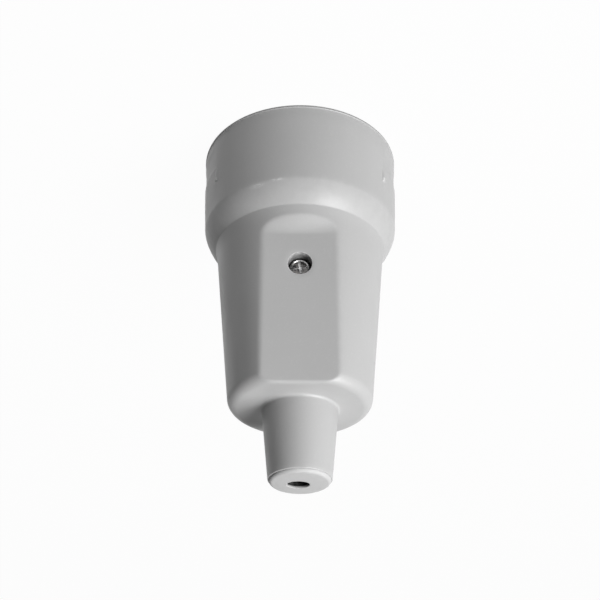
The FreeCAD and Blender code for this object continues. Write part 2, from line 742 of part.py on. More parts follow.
def make_earth_terminal():
    """Brass post on the stirrup: rivet through the bar, wire hole and screw hole at the back."""
    body = new_body("earth_terminal")
    profile = sketch_on(body, "earth_post_profile", "XZ_Plane")
    outline(profile, [
        ("0", "bar_front - rivet_head_height"),
        ("rivet_head_radius", "bar_front - rivet_head_height"),
        ("rivet_head_radius", "bar_front"),
        ("rivet_radius", "bar_front"),
        ("rivet_radius", "bar_back"),
        ("contact_radius", "bar_back"),
        ("contact_radius", "contact_back"),
        ("wire_hole_radius", "contact_back"),
        ("wire_hole_radius", "wire_hole_end"),
        ("0", "wire_hole_end"),
    ])
    revolve(body, profile)
    screw_hole = sketch_on(body, "earth_screw_hole", "XZ_Plane")
    ring(screw_hole, "0", "terminal_z", "terminal_screw_radius + thread_clearance")
    extrude(body, "Pocket", screw_hole, "collar_radius")
    place(body, back="earth_offset")
    pieces.append(body)


def make_screw(name, head_radius, head_height, shank_radius, shank_length, cross=True):
    """One screw along Z with the underside of its head at the origin and its shank below it."""
    body = new_body(name)
    profile = sketch_on(body, f"{name}_profile", "XZ_Plane")
    outline(profile, [
        ("0", f"-({shank_length})"),
        (shank_radius, f"-({shank_length})"),
        (shank_radius, "0"),
        (head_radius, "0"),
        (head_radius, head_height),
        ("0", head_height),
    ])
    turned = revolve(body, profile)
    rim = edges_where(turned, circle_at(head_radius, head_height))
    dress(body, "Fillet", turned, rim, "head_round")
    reach = f"{head_radius} - drive_rim" if cross else f"{head_radius} + drive_rim"
    for index, role in enumerate(("YZ_Plane", "XZ_Plane") if cross else ("YZ_Plane",)):
        drive = sketch_on(body, f"{name}_drive_{index}", role)
        rectangle(drive, f"-({reach})", f"{head_height} - drive_depth",
                  reach, f"{head_height} + drive_depth")
        extrude(body, "Pocket", drive, "drive_width", both_ways=True)
    return body


def turn_body(body, towards):
    """Turns a finished body about its own origin, so that its Z axis points in a direction."""
    turn = FreeCAD.Rotation(FreeCAD.Vector(0, 0, 1), towards)
    body.Placement = FreeCAD.Placement(body.Placement.Base, turn)


def group(label, members):
    """Like pieces that share one node, kept as separate solids."""
    compound = doc.addObject("Part::Compound", label)
    compound.Label = label
    compound.Links = members
    doc.recompute()
    pieces.append(compound)


def make_nut(name):
    """One square nut lying in the XY plane, with its thickness up Z."""
    body = new_body(name)
    square = sketch_on(body, f"{name}_square", "XY_Plane")
    rectangle(square, "-nut_width / 2", "-nut_width / 2", "nut_width / 2", "nut_width / 2")
    ring(square, "0", "0", "machine_screw_radius + thread_clearance")
    extrude(body, "Pad", square, "nut_thickness")
    return body


FRONT = FreeCAD.Vector(0, -1, 0)
BACK = FreeCAD.Vector(0, 1, 0)


def make_screws_and_nuts():
    """All the fasteners, like ones grouped in one node."""
    screw = make_screw("housing_screw", "screw_head_radius", "screw_head_height",
                       "machine_screw_radius", "head_seat - web_thickness / 2 - screw_clearance")
    turn_body(screw, FRONT)
    place(screw, back="-head_seat", up="screw_z")
    pieces.append(screw)
    nut = make_nut("housing_nut")
    turn_body(nut, FRONT)
    place(nut, back="-(nut_front - nut_thickness)", up="screw_z")
    pieces.append(nut)

    carrier_screws = []
    for name, side in (("carrier_screw_a", "-"), ("carrier_screw_b", "")):
        screw = make_screw(name, "tapping_head_radius", "tapping_head_height", "tapping_screw_radius",
                           "base_thickness + face_thickness - blind_floor - screw_clearance")
        place(screw, f"{side}carrier_screw_x", f"{side}carrier_screw_y", "face_back + base_thickness")
        carrier_screws.append(screw)
    group("carrier_screws", carrier_screws)

    terminal_screws = []
    for name, across, back in (("live_terminal_screw", "pin_spacing / 2", "0"),
                               ("neutral_terminal_screw", "-pin_spacing / 2", "0"),
                               ("earth_terminal_screw", "0", "earth_offset")):
        screw = make_screw(name, "terminal_head_radius", "terminal_head_height", "terminal_screw_radius",
                           "contact_radius + access_clearance - wire_hole_radius + terminal_bite", False)
        turn_body(screw, BACK)
        place(screw, across, f"{back} + contact_radius + access_clearance", "terminal_z")
        terminal_screws.append(screw)
    group("terminal_screws", terminal_screws)

    clamp_screws = []
    clamp_nuts = []
    for name, side in (("a", "-"), ("b", "")):
        screw = make_screw(f"clamp_screw_{name}", "clamp_head_radius", "clamp_head_height",
                           "machine_screw_radius", "clamp_foot + tongue_thickness")
        turn_body(screw, BACK)
        place(screw, f"{side}clamp_screw_x", "clamp_foot", "clamp_z")
        clamp_screws.append(screw)
        nut = make_nut(f"clamp_nut_{name}")
        turn_body(nut, BACK)
        place(nut, f"{side}clamp_screw_x", "-tongue_thickness", "clamp_z")
        clamp_nuts.append(nut)
    group("cord_clamp_screws", clamp_screws)
    group("cord_clamp_nuts", clamp_nuts)


def make_cord_clamp():
    """Saddle over the cable: an arch between two feet that are screwed to the tongue."""
    body = new_body("cord_clamp")
    start = "clamp_z - clamp_width / 2"
    feet = sketch_on(body, "clamp_feet", "XY_Plane", start)
    rectangle(feet, "-clamp_half_width", "0", "clamp_half_width", "clamp_foot")
    extrude(body, "Pad", feet, "clamp_width")
    arch = sketch_on(body, "clamp_arch", "XY_Plane", start)
    ring(arch, "0", "0", "arch_radius")
    extrude(body, "Pad", arch, "clamp_width")
    below = sketch_on(body, "clamp_underside", "XY_Plane", start)
    rectangle(below, "-clamp_half_width", "-arch_radius", "clamp_half_width", "0")
    extrude(body, "Pocket", below, "clamp_width", backwards=True)
    tunnel = sketch_on(body, "clamp_tunnel", "XY_Plane", start)
    ring(tunnel, "0", "0", "passage_radius")
    extrude(body, "Pocket", tunnel, "clamp_width", backwards=True)
    holes = sketch_on(body, "clamp_holes", "XZ_Plane")
    for side in ("-", ""):
        ring(holes, f"{side}clamp_screw_x", "clamp_z", "machine_screw_radius + screw_clearance")
    extrude(body, "Pocket", holes, "clamp_foot")
    pieces.append(body)


make_housing()
make_cable_bush()
make_socket_insert()
make_contact_carrier()
for contact_name, contact_side in (("live", ""), ("neutral", "-")):
    make_contact(f"{contact_name}_contact", contact_side)
    make_contact_spring(f"{contact_name}_contact_spring", contact_side)
make_earth_stirrup()
make_earth_terminal()
make_cord_clamp()
make_screws_and_nuts()
doc.recompute()

for item in doc.Objects:
    if {"Invalid", "Error"} & set(item.State):
        raise RuntimeError(f"{item.Label} failed: {item.State}")
for piece in pieces:
    if piece.Shape.isNull() or not piece.Shape.isValid():
        raise RuntimeError(f"{piece.Label} has no valid shape")

os.makedirs("parts", exist_ok=True)
for piece in pieces:
    piece.Shape.exportStep(f"parts/{piece.Label}.step")
    box = piece.Shape.BoundBox
    print(f"{piece.Label}: {len(piece.Shape.Solids)} solid(s), {piece.Shape.Volume:.1f} mm3, "
          f"z {box.ZMin:.2f} to {box.ZMax:.2f}")
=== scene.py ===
# %% [markdown]
# # A round cable socket in grey moulded plastic
# The object is the socket half of a cable coupler. A grey housing carries a wide barrel with the plug
# well, a tapered grip with a flat front and back, and a slim neck with a soft cable bush. The CAD model
# is loaded first and never changes: every new surface lies where its CAD node is, in the same frame.

# %% Load the CAD frame
import json
import math

import bmesh
import bpy
import numpy as np
from mathutils import Matrix, Vector


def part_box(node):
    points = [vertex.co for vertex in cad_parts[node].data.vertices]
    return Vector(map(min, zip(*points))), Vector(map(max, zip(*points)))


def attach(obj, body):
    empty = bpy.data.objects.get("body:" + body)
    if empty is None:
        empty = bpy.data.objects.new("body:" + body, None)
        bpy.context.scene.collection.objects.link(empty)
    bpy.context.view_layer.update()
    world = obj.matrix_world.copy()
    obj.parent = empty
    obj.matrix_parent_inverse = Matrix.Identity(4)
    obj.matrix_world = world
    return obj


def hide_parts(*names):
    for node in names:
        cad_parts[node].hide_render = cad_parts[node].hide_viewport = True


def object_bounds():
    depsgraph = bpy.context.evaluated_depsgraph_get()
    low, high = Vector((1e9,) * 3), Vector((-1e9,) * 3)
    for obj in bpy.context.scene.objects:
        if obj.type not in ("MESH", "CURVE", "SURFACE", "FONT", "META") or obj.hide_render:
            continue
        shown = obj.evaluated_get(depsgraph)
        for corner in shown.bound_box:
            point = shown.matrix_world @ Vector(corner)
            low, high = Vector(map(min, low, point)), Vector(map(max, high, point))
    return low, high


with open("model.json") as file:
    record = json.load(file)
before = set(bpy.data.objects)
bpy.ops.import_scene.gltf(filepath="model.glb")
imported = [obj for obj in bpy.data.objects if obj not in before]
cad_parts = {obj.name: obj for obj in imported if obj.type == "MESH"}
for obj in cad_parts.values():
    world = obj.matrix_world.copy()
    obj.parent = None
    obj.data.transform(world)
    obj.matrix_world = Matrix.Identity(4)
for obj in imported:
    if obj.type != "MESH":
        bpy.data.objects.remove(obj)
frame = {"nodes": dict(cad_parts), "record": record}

MM = 0.001
cad_box = [list(corner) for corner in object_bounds()]


def box_mm(node):
    """The lowest and highest corner of a CAD node, in millimetres."""
    low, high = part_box(node)
    return low / MM, high / MM


print("CAD nodes:", ", ".join(sorted(frame["nodes"])))

# %% [markdown]
# ## Camera
# The socket stands on its mouth and is seen from above the neck, with the camera turned upside down,
# so that the neck points at the bottom of the picture. The camera could be aimed with a constraint,
# but three written axes say the same thing and leave nothing live in the scene.

# %% Camera
IMAGE_WIDTH = 600
FOCAL_PIXELS = 1061.5
SENSOR_WIDTH = 36.0
PITCH = math.radians(31.36)
CAMERA_PLACE = Vector((0.0, -0.225, 0.1787))

image_right = Vector((-1.0, 0.0, 0.0))
image_up = Vector((0.0, -math.sin(PITCH), -math.cos(PITCH)))
towards_viewer = Vector((0.0, -math.cos(PITCH), math.sin(PITCH)))
turn = Matrix((image_right, image_up, towards_viewer)).transposed()

scene = bpy.context.scene
scene.view_settings.view_transform = "Standard"
camera_data = bpy.data.cameras.new("camera")
camera_data.sensor_width = SENSOR_WIDTH
camera_data.lens = SENSOR_WIDTH * FOCAL_PIXELS / IMAGE_WIDTH
camera_data.clip_start = 0.01
camera = bpy.data.objects.new("camera", camera_data)
camera.matrix_world = Matrix.LocRotScale(CAMERA_PLACE, turn.to_quaternion(), None)
scene.collection.objects.link(camera)
scene.camera = camera
print(f"camera: {camera_data.lens:.1f} mm lens, {CAMERA_PLACE.length:.2f} m from the mouth")

# %% [markdown]
# ## Node helpers
# Every finish is a small node tree. A few helpers keep the trees readable: they make a node and fill its
# sockets, make random spots of a given size, stretch or mix values, and turn a height into a bump. All
# patterns read Object coordinates, so they stay on the piece in any view.

# %% Node helpers
finishes = {}


def node(tree, kind, values, **settings):
    """Makes a node. A value that is another node's output is linked, any other is set."""
    made = tree.nodes.new(kind)
    for name, setting in settings.items():
        setattr(made, name, setting)
    for socket, value in values.items():
        if isinstance(value, bpy.types.NodeSocket):
            tree.links.new(value, made.inputs[socket])
        else:
            made.inputs[socket].default_value = value
    return made


def spots(tree, size, detail=2.0, stretch=(1.0, 1.0, 1.0)):
    """Random spots about `size` millimetres wide, from 0 to 1. Each axis is divided by size times
    stretch, so a stretch of 20 along Z gives streaks along Z."""
    place = node(tree, "ShaderNodeTexCoord", {}).outputs["Object"]
    scale = tuple(1.0 / (MM * size * factor) for factor in stretch)
    squeezed = node(tree, "ShaderNodeMapping", {"Vector": place, "Scale": scale}).outputs[0]
    noise = node(tree, "ShaderNodeTexNoise", {"Vector": squeezed, "Scale": 1.0, "Detail": detail})
    return noise.outputs[0]


def spread(tree, value, low, high, start=0.0, stop=1.0):
    """Straight line from low, where the value is start, to high, where it is stop, clamped there."""
    values = {"Value": value, "From Min": start, "From Max": stop, "To Min": low, "To Max": high}
    return node(tree, "ShaderNodeMapRange", values).outputs["Result"]


def mix_colours(tree, share, first, second):
    """first where share is 0 and second where it is 1; each a colour or another node's output."""
    mixed = node(tree, "ShaderNodeMix", {0: share, 6: first, 7: second}, data_type="RGBA")
    return mixed.outputs[2]


def calculate(tree, operation, first, second):
    """One step of arithmetic on two values."""
    return node(tree, "ShaderNodeMath", {0: first, 1: second}, operation=operation).outputs[0]


def times(tree, first, second):
    """The product of two values."""
    return calculate(tree, "MULTIPLY", first, second)


def carried(tree, name):
    """The value that a mesh carries at each point under a name."""
    return node(tree, "ShaderNodeAttribute", {}, attribute_name=name).outputs["Fac"]


def relief(tree, height, depth, under=None):
    """A bump of a height from 0 to 1 over a depth in millimetres, on top of another bump if given."""
    values = {"Height": height, "Strength": 1.0, "Distance": depth * MM}
    if under is not None:
        values["Normal"] = under
    return node(tree, "ShaderNodeBump", values).outputs[0]


def grey(level):
    """A neutral colour."""
    return (level, level, level, 1.0)


def new_finish(name, **sockets):
    """A material whose shader has the given fixed sockets, and its tree. It joins the finishes."""
    material = bpy.data.materials.new(name)
    material.use_nodes = True
    finishes[name] = material
    shader = material.node_tree.nodes["Principled BSDF"]
    for socket, value in sockets.items():
        shader.inputs[socket.replace("_", " ")].default_value = value
    return material, material.node_tree


def settle(tree, **links):
    """Links a tree's results to its shader's sockets."""
    shader = tree.nodes["Principled BSDF"]
    for socket, output in links.items():
        tree.links.new(output, shader.inputs[socket.replace("_", " ")])


print("node helpers ready")

# %% [markdown]
# ## World light
# The socket stands on a plain white ground. Strong lamps could make it white, but then the plastic would
# wash out. Instead the world is white only to camera, mirror and see-through rays, and lights the socket
# at a far lower level.

# %% World light
WORLD_LIGHT = 0.008


def seen_directly(tree):
    """1 for camera, glossy and transmission rays, 0 for light that falls on surfaces."""
    rays = node(tree, "ShaderNodeLightPath", {})
    mirrored = calculate(tree, "MAXIMUM", rays.outputs["Is Glossy Ray"],
                         rays.outputs["Is Transmission Ray"])
    return calculate(tree, "MAXIMUM", rays.outputs["Is Camera Ray"], mirrored)


world = bpy.data.worlds.new("studio")
world.use_nodes = True
scene.world = world
background = world.node_tree.nodes["Background"]
background.inputs["Color"].default_value = grey(1.0)
strength = spread(world.node_tree, seen_directly(world.node_tree), WORLD_LIGHT, 1.0)
world.node_tree.links.new(strength, background.inputs["Strength"])
print("world light", WORLD_LIGHT)

# %% [markdown]
# ## Lamps
# Two softboxes stand to the right in the picture, the second one higher. A sun lamp would shade the
# socket too, but it mirrors as a point: a square lamp leaves the broad highlights of satin plastic.

# %% Lamps
LAMP_TARGET = Vector((0.0, 0.0, 0.045))
LAMP_DISTANCE = 0.6


def softbox(name, azimuth, elevation, size, watts):
    """A square lamp aimed at the socket's middle. Azimuth 0 is in front of the screw's flat and 90 to
    the right in the picture, elevation is above the floor, both in degrees."""
    turn, lift = math.radians(azimuth), math.radians(elevation)
    way = Vector((-math.sin(turn) * math.cos(lift), -math.cos(turn) * math.cos(lift), math.sin(lift)))
    data = bpy.data.lights.new(name, "AREA")
    data.size = size
    data.energy = watts
    lamp = bpy.data.objects.new(name, data)
    lamp.location = LAMP_TARGET + LAMP_DISTANCE * way
    lamp.rotation_euler = (-way).to_track_quat("-Z", "Y").to_euler()
    scene.collection.objects.link(lamp)
    print(f"{name}: {watts} W from {azimuth} degrees, {elevation} up")


softbox("front_softbox", azimuth=42.0, elevation=31.0, size=0.28, watts=2.3)
softbox("side_softbox", azimuth=66.0, elevation=56.0, size=0.28, watts=2.85)

# %% [markdown]
# ## Floor
# The floor is white to the same rays, so it almost merges with the world. A shadow catcher would need
# compositing, so a small share of plain paint takes the socket's shadow instead.

# %% Floor
FLOOR_HALF = 1.5
FLOOR_DROP = 0.00005
FLOOR_WHITE_SHARE = 0.97

floor_mesh = bpy.data.meshes.new("floor")
corners = FLOOR_HALF * np.array([(-1, -1), (1, -1), (1, 1), (-1, 1)])
floor_points = np.column_stack((corners, np.full(4, cad_box[0][2] - FLOOR_DROP)))
floor_mesh.from_pydata(floor_points.tolist(), [], [(0, 1, 2, 3)])
floor = bpy.data.objects.new("floor", floor_mesh)
scene.collection.objects.link(floor)

floor_paint, tree = new_finish("floor_paint", Specular_IOR_Level=0.0)
settle(tree, Base_Color=mix_colours(tree, spots(tree, 40.0), grey(0.50), grey(0.52)))
glow = node(tree, "ShaderNodeEmission", {"Color": grey(1.0), "Strength": 1.0}).outputs[0]
share = times(tree, seen_directly(tree), FLOOR_WHITE_SHARE)
paint = tree.nodes["Principled BSDF"].outputs[0]
blend = node(tree, "ShaderNodeMixShader", {0: share, 1: paint, 2: glow}).outputs[0]
tree.links.new(blend, tree.nodes["Material Output"].inputs["Surface"])
floor_mesh.materials.append(floor_paint)
print("floor", 2 * FLOOR_HALF, "m wide")

# %% [markdown]
# ## Mesh helpers
# Nearly every piece is a profile carried round an axis. Blender's Screw modifier could do that, but a
# grid of points in numpy can also be pressed flat, dented or opened afterwards, as a whole array. The
# helpers below draw the profile's straight runs and bends, join the grid's neighbours with four-sided
# faces, and put the arrays into a mesh on the CAD body.

# %% Mesh helpers
SAME_PLACE = 0.0005


def straight(start, stop, count):
    """Points on a straight run: start plus k/count of the way to stop, without stop itself."""
    share = np.arange(count)[:, None] / count
    return (1 - share) * np.array(start, float) + share * np.array(stop, float)


def zigzag(corners, counts):
    """Straight runs from corner to corner, each with its own count of points."""
    return np.concatenate([straight(*run) for run in zip(corners, corners[1:], counts)])


def bend(centre, radius, first, last, count):
    """Points on an arc: the centre plus the radius times the cosine and sine of angles that run from
    first to last, in degrees, without the last itself."""
    angle = np.radians(first + (last - first) * np.arange(count) / count)
    return np.array(centre, float) + radius * np.stack((np.cos(angle), np.sin(angle)), axis=1)


def joined(points_shape, round_rows=True):
    """Four-sided faces of a grid whose columns close on themselves, and whose rows do too if asked.
    Each face joins a point, its neighbour in the next column, and the two beside them one row on."""
    rows, columns = points_shape[:2]
    index = np.arange(rows * columns).reshape(rows, columns)
    beside = np.roll(index, -1, axis=1)
    faces = np.stack((index, beside, np.roll(beside, -1, axis=0), np.roll(index, -1, axis=0)), axis=-1)
    return faces if round_rows else faces[:-1]


def new_piece(name, points, faces, replaced, material, crease_angle, marks):
    """A mesh piece from points in millimetres. Points that no face uses are dropped, points that lie
    on each other become one, and faces are turned outwards. marks holds one value for each point."""
    faces = faces.reshape(-1, 4)
    used, order = np.unique(faces, return_inverse=True)
    mesh = bpy.data.meshes.new(name)
    mesh.from_pydata((points.reshape(-1, 3)[used] * MM).tolist(), [], order.reshape(-1, 4).tolist())
    for mark, values in marks.items():
        layer = mesh.attributes.new(mark, "FLOAT", "POINT")
        layer.data.foreach_set("value", values.reshape(-1)[used].astype(np.float32))
    shell = bmesh.new()
    shell.from_mesh(mesh)
    bmesh.ops.remove_doubles(shell, verts=shell.verts, dist=SAME_PLACE * MM)
    bmesh.ops.recalc_face_normals(shell, faces=shell.faces)
    open_edges = sum(len(edge.link_faces) != 2 for edge in shell.edges)
    shell.to_mesh(mesh)
    shell.free()
    mesh.shade_smooth()
    mesh.set_sharp_from_angle(angle=math.radians(crease_angle))
    mesh.materials.append(material)
    piece = bpy.data.objects.new(name, mesh)
    scene.collection.objects.link(piece)
    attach(piece, "root")
    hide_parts(replaced)
    print(f"{name}: {len(mesh.vertices)} points, {len(mesh.polygons)} faces, {open_edges} open edges")


def fade(value, start, stop):
    """0 at start and before, 1 at stop and after, and an S-shaped rise t*t*(3 - 2t) between them."""
    t = np.clip((value - start) / (stop - start), 0.0, 1.0)
    return t * t * (3.0 - 2.0 * t)


def hump(value, start, full, fall, stop):
    """0 up to start, 1 from full to fall and 0 again from stop on, with S-shaped edges."""
    return fade(value, start, full) * (1.0 - fade(value, fall, stop))


def window(value, low, high, soft):
    """A hump between low and high, whose edges are `soft` wide and lie inside them."""
    return hump(value, low, low + soft, high - soft, high)


def soft_min(first, second, softness):
    """The smaller of two values, rounded where they meet: the smaller one, less the square of how far
    softness exceeds their difference, over four times softness."""
    near = np.maximum(softness - np.abs(first - second), 0.0)
    return np.minimum(first, second) - near ** 2 / (4.0 * softness)


print("mesh helpers ready")

# %% [markdown]
# ## Grey moulded plastic
# The housing is injection moulded in light grey plastic with a satin skin. A flat colour would look
# like paint, so the finish has layers: a colour that drifts by a few percent, a fine eroded grain from
# the mould, wear, which makes edges smoother and paler and leaves light strokes at scuffs, painted
# highlights in the same pale colour and strokes, and painted shade, a darker grey. Wear with the
# painted highlights, and the painted shade, read two values that the meshes carry. The bush is a duller
# rubber from the same function.

# %% Grey moulded plastic
# wear, and painted highlights on the nibs and round the screw hole, share one value
WEAR_AND_HIGHLIGHT = "wear_and_painted_highlight"
# painted shade: the value that marks where the grey is painted darker
PAINTED_SHADE = "painted_shade"

# lightness of each layer, painted highlights and shade included, as a share of the plain grey, and how
# far wear lowers the roughness
DRIFT_SHARES = (0.96, 1.04)
SPECKLE_SHARE = 1.12
PALE_SHARE = 1.3
STROKE_SHARE = 1.55
# painted shade: how dark the grey turns where the mesh marks it shaded
SHADE_SHARE = 0.12
POLISH = 0.14


def moulded_grey(name, level, grain_size, grain_depth, gloss, sheen):
    """A grey moulded finish: level is its lightness, gloss its middle roughness and sheen how much it
    mirrors. The grain's size and depth are in millimetres."""
    material, tree = new_finish(name, Specular_IOR_Level=sheen)
    darker, lighter = (grey(level * share) for share in DRIFT_SHARES)
    base = mix_colours(tree, spots(tree, 14.0, 3.0), darker, lighter)
    speckle = spread(tree, spots(tree, 0.5, 3.0), 0.0, 0.5, 0.55, 0.8)
    speckled = mix_colours(tree, speckle, base, grey(level * SPECKLE_SHARE))

    # wear and painted highlights: paler in patches, with pale strokes at scuffs and on the painted glints
    # of the nibs and the screw hole's edge
    wear_and_highlight = carried(tree, WEAR_AND_HIGHLIGHT)
    patches = spread(tree, spots(tree, 2.2, 4.0), 0.0, 1.0, 0.35, 0.65)
    patchy = times(tree, wear_and_highlight, patches)
    paler = mix_colours(tree, times(tree, patchy, 0.5), speckled, grey(level * PALE_SHARE))
    strokes = spread(tree, spots(tree, 0.5, 2.0, (2.2, 2.2, 0.7)), 0.0, 1.0, 0.46, 0.56)
    strongest_marks = spread(tree, wear_and_highlight, 0.0, 1.0, 0.8, 1.8)
    stroked = mix_colours(tree, times(tree, strongest_marks, strokes), paler, grey(level * STROKE_SHARE))

    # painted shade: darker in streaks where the mesh carries the painted-shade value, in holes and at the
    # rim
    streaks = spread(tree, spots(tree, 0.8, 3.0), 0.6, 1.0, 0.35, 0.6)
    streaky_shade = times(tree, carried(tree, PAINTED_SHADE), streaks)
    colour = mix_colours(tree, streaky_shade, stroked, grey(level * SHADE_SHARE))

    smears = spots(tree, 5.0, 4.0, (1.0, 1.0, 2.5))
    rough = spread(tree, smears, gloss - 0.05, gloss + 0.06, 0.3, 0.7)
    roughness = calculate(tree, "SUBTRACT", rough, times(tree, patchy, POLISH))

    waves = relief(tree, spots(tree, 4.5, 2.0), 0.02)
    grain = relief(tree, spots(tree, grain_size, 2.0), grain_depth, waves)
    scratches = spread(tree, spots(tree, 0.6, 1.0, (0.25, 0.25, 9.0)), 0.0, 1.0, 0.74, 0.86)
    surface = relief(tree, scratches, -0.004, grain)
    settle(tree, Base_Color=colour, Roughness=roughness, Normal=surface)
    return material


housing_plastic = moulded_grey("housing_plastic", level=0.45, grain_size=0.22, grain_depth=0.006,
                               gloss=0.41, sheen=0.58)
bush_rubber = moulded_grey("bush_rubber", level=0.52, grain_size=0.35, grain_depth=0.009,
                           gloss=0.6, sheen=0.35)
print("finishes:", housing_plastic.name, bush_rubber.name)

# %% [markdown]
# ## Housing: the turned profile
# The housing is one moulding. Its half section runs from the rim up the barrel, over the rounded
# shoulder into the grip, which flares slightly next to it, round the grip's end, which rises a little to
# the neck, up the neck and back down inside. A curve through hand-placed points could draw it. Here each
# bend is an arc worked out from the lines that it touches, so there are no kinks.

# %% Sizes of the housing
MOUTH_RADIUS = 25.196
BACK_RADIUS = 24.4
BARREL_END = 22.1
SHOULDER_LENGTH = 5.34
GRIP_FRONT = 21.15
GRIP_BACK = 16.9
GRIP_LENGTH = 44.2
GRIP_FLARE = 0.36
FLARE_LENGTH = 4.2
CREASE_DROP = 0.4
END_LEAN = 3.0
END_WALL = 3.0
NECK_ROOT = 9.0
NECK_TIP = 7.35

neck_end = box_mm("housing")[1].z
shoulder_z = BARREL_END + SHOULDER_LENGTH
end_z = shoulder_z + GRIP_LENGTH
cavity_end = end_z - END_WALL
end_slope = math.tan(math.radians(END_LEAN))
barrel_slope = (MOUTH_RADIUS - BACK_RADIUS) / BARREL_END
grip_slope = (GRIP_FRONT - GRIP_BACK) / GRIP_LENGTH
flare_slope = grip_slope + 2 * GRIP_FLARE / FLARE_LENGTH * (1 - CREASE_DROP / FLARE_LENGTH)
neck_slope = (NECK_ROOT - NECK_TIP) / (neck_end - end_z)
slopes = (barrel_slope, grip_slope, flare_slope, neck_slope)
barrel_lean, grip_lean, flare_lean, neck_lean = (math.degrees(math.atan(slope)) for slope in slopes)
print(f"shoulder ends at {shoulder_z:.2f}, grip at {end_z:.2f}, neck at {neck_end:.2f} mm")

# %% Lines of the profile
def slanted(lean):
    """The cosine and sine of a lean in degrees: the way straight out of a wall that leans so."""
    return np.array((math.cos(math.radians(lean)), math.sin(math.radians(lean))))


def barrel_radius(z):
    """The barrel's radius at a height: a straight taper from the mouth."""
    return MOUTH_RADIUS - barrel_slope * z


def grip_radius(z):
    """The round grip's radius at a height: a straight taper from the shoulder."""
    return GRIP_FRONT - grip_slope * (z - shoulder_z)


def flared_radius(z):
    """The grip's radius with its slight flare at the shoulder, which fades out with a square."""
    return grip_radius(z) + GRIP_FLARE * np.clip(1.0 - (z - shoulder_z) / FLARE_LENGTH, 0.0, 1.0) ** 2


def neck_radius(z):
    """The neck's radius at a height: a straight taper from the grip's end."""
    return NECK_ROOT - neck_slope * (z - end_z)


print(f"the grip leans {grip_lean:.2f} degrees")

# %% Corner arcs
RIM_ROUND = 0.5
END_ROUND = 2.7
NECK_ROOT_ROUND = 0.75
NECK_EDGE_ROUND = 0.2


def inside_corner(radius_at, lean, z, rounding):
    """Centre of an arc at height z that touches a leaning line from the axis side, or from outside
    where the rounding is negative: the line's radius less rounding over the cosine of its lean."""
    return np.array((radius_at(z) - rounding / slanted(lean)[0], z))


rim_centre = inside_corner(barrel_radius, barrel_lean, RIM_ROUND, RIM_ROUND)
end_centre = inside_corner(grip_radius, grip_lean, end_z - END_ROUND, END_ROUND)
edge_centre = inside_corner(neck_radius, neck_lean, neck_end - NECK_EDGE_ROUND, NECK_EDGE_ROUND)

# the arc at the neck's root touches two leaning lines, the grip's end and the neck
end_out = slanted(END_LEAN)[::-1]
end_start = end_centre + END_ROUND * end_out
neck_gap = end_start[0] - neck_radius(0.0) - NECK_ROOT_ROUND / slanted(neck_lean)[0]
root_z = end_start[1] + NECK_ROOT_ROUND / end_out[1] + end_slope * neck_gap
root_z = root_z / (1.0 - end_slope * neck_slope)
root_centre = inside_corner(neck_radius, neck_lean, root_z, -NECK_ROOT_ROUND)
print(f"the neck's root arc is centred at {root_z:.2f} mm")

# %% Shoulder arcs
SHOULDER_ROUND = 15.0
SHOULDER_EDGE_ROUND = 4.0
CREASE_ROUND = 0.9

# the shoulder's arc runs through the barrel's end and a place just past the grip's start
drop_z = shoulder_z + CREASE_DROP
shoulder_ends = np.array(((BACK_RADIUS, BARREL_END), (flared_radius(drop_z), drop_z)))
chord = shoulder_ends[1] - shoulder_ends[0]
across_chord = np.array((-chord[1], chord[0]))
rise = math.sqrt(SHOULDER_ROUND ** 2 - chord @ chord / 4)
shoulder_centre = shoulder_ends.mean(axis=0) + rise * across_chord / np.linalg.norm(chord)


def touching_centre(corner, lean, offset, reach):
    """Centre of an arc that touches a leaning line and the shoulder's arc. It lies on the line through
    the corner, moved outwards by the offset, at the reach from the shoulder's centre."""
    outwards = slanted(lean)
    along = np.array((-outwards[1], outwards[0]))
    start = corner + offset * outwards - shoulder_centre
    slide = -start @ along + math.sqrt((start @ along) ** 2 + reach ** 2 - start @ start)
    return shoulder_centre + start + slide * along


def turn_towards(centre):
    """The angle, in degrees, at which the shoulder's arc meets an arc with that centre."""
    return math.degrees(math.atan2(*(centre - shoulder_centre)[::-1]))


step_centre = touching_centre(shoulder_ends[0], barrel_lean, -SHOULDER_EDGE_ROUND,
                              SHOULDER_ROUND - SHOULDER_EDGE_ROUND)
crease_centre = touching_centre(shoulder_ends[1], flare_lean, CREASE_ROUND,
                                SHOULDER_ROUND + CREASE_ROUND)
shoulder_start = turn_towards(step_centre)
shoulder_turn = turn_towards(crease_centre)
print(f"the shoulder turns from {shoulder_start:.1f} to {shoulder_turn:.1f} degrees")

# %% [markdown]
# ## Housing: rows and columns of the grid
# The grid has narrow cells only where the shape changes quickly: along the flats' edges, at the cove
# beside them, at the pads and nibs on the barrel's sides and in a square block round the screw hole.
# An even grid as fine as that would be far larger. The half section's runs are named, so that the later
# steps can say where they work: on the barrel, on the grip or in the cavity.

# %% Rows and columns
SEAT_Z = 23.5
SCREW_DROP = 14.6
HOLE_RINGS = 14
HOLE_CELL = 0.45

screw_z = shoulder_z + SCREW_DROP
block_rows = screw_z + HOLE_CELL * np.arange(-HOLE_RINGS, HOLE_RINGS + 1)
grip_start = crease_centre[1] - CREASE_ROUND * slanted(flare_lean)[1]
grip_stop = end_centre[1] + END_ROUND * slanted(grip_lean)[1]
grip_rows = np.concatenate((
    np.linspace(grip_start, block_rows[0], 36, endpoint=False),
    block_rows,
    np.linspace(block_rows[-1], grip_stop, 30)[1:-1]))
cavity_rows = np.concatenate((
    np.linspace(cavity_end, block_rows[-1], 16, endpoint=False),
    block_rows[::-1],
    np.linspace(block_rows[0], SEAT_Z, 14)[1:-1]))

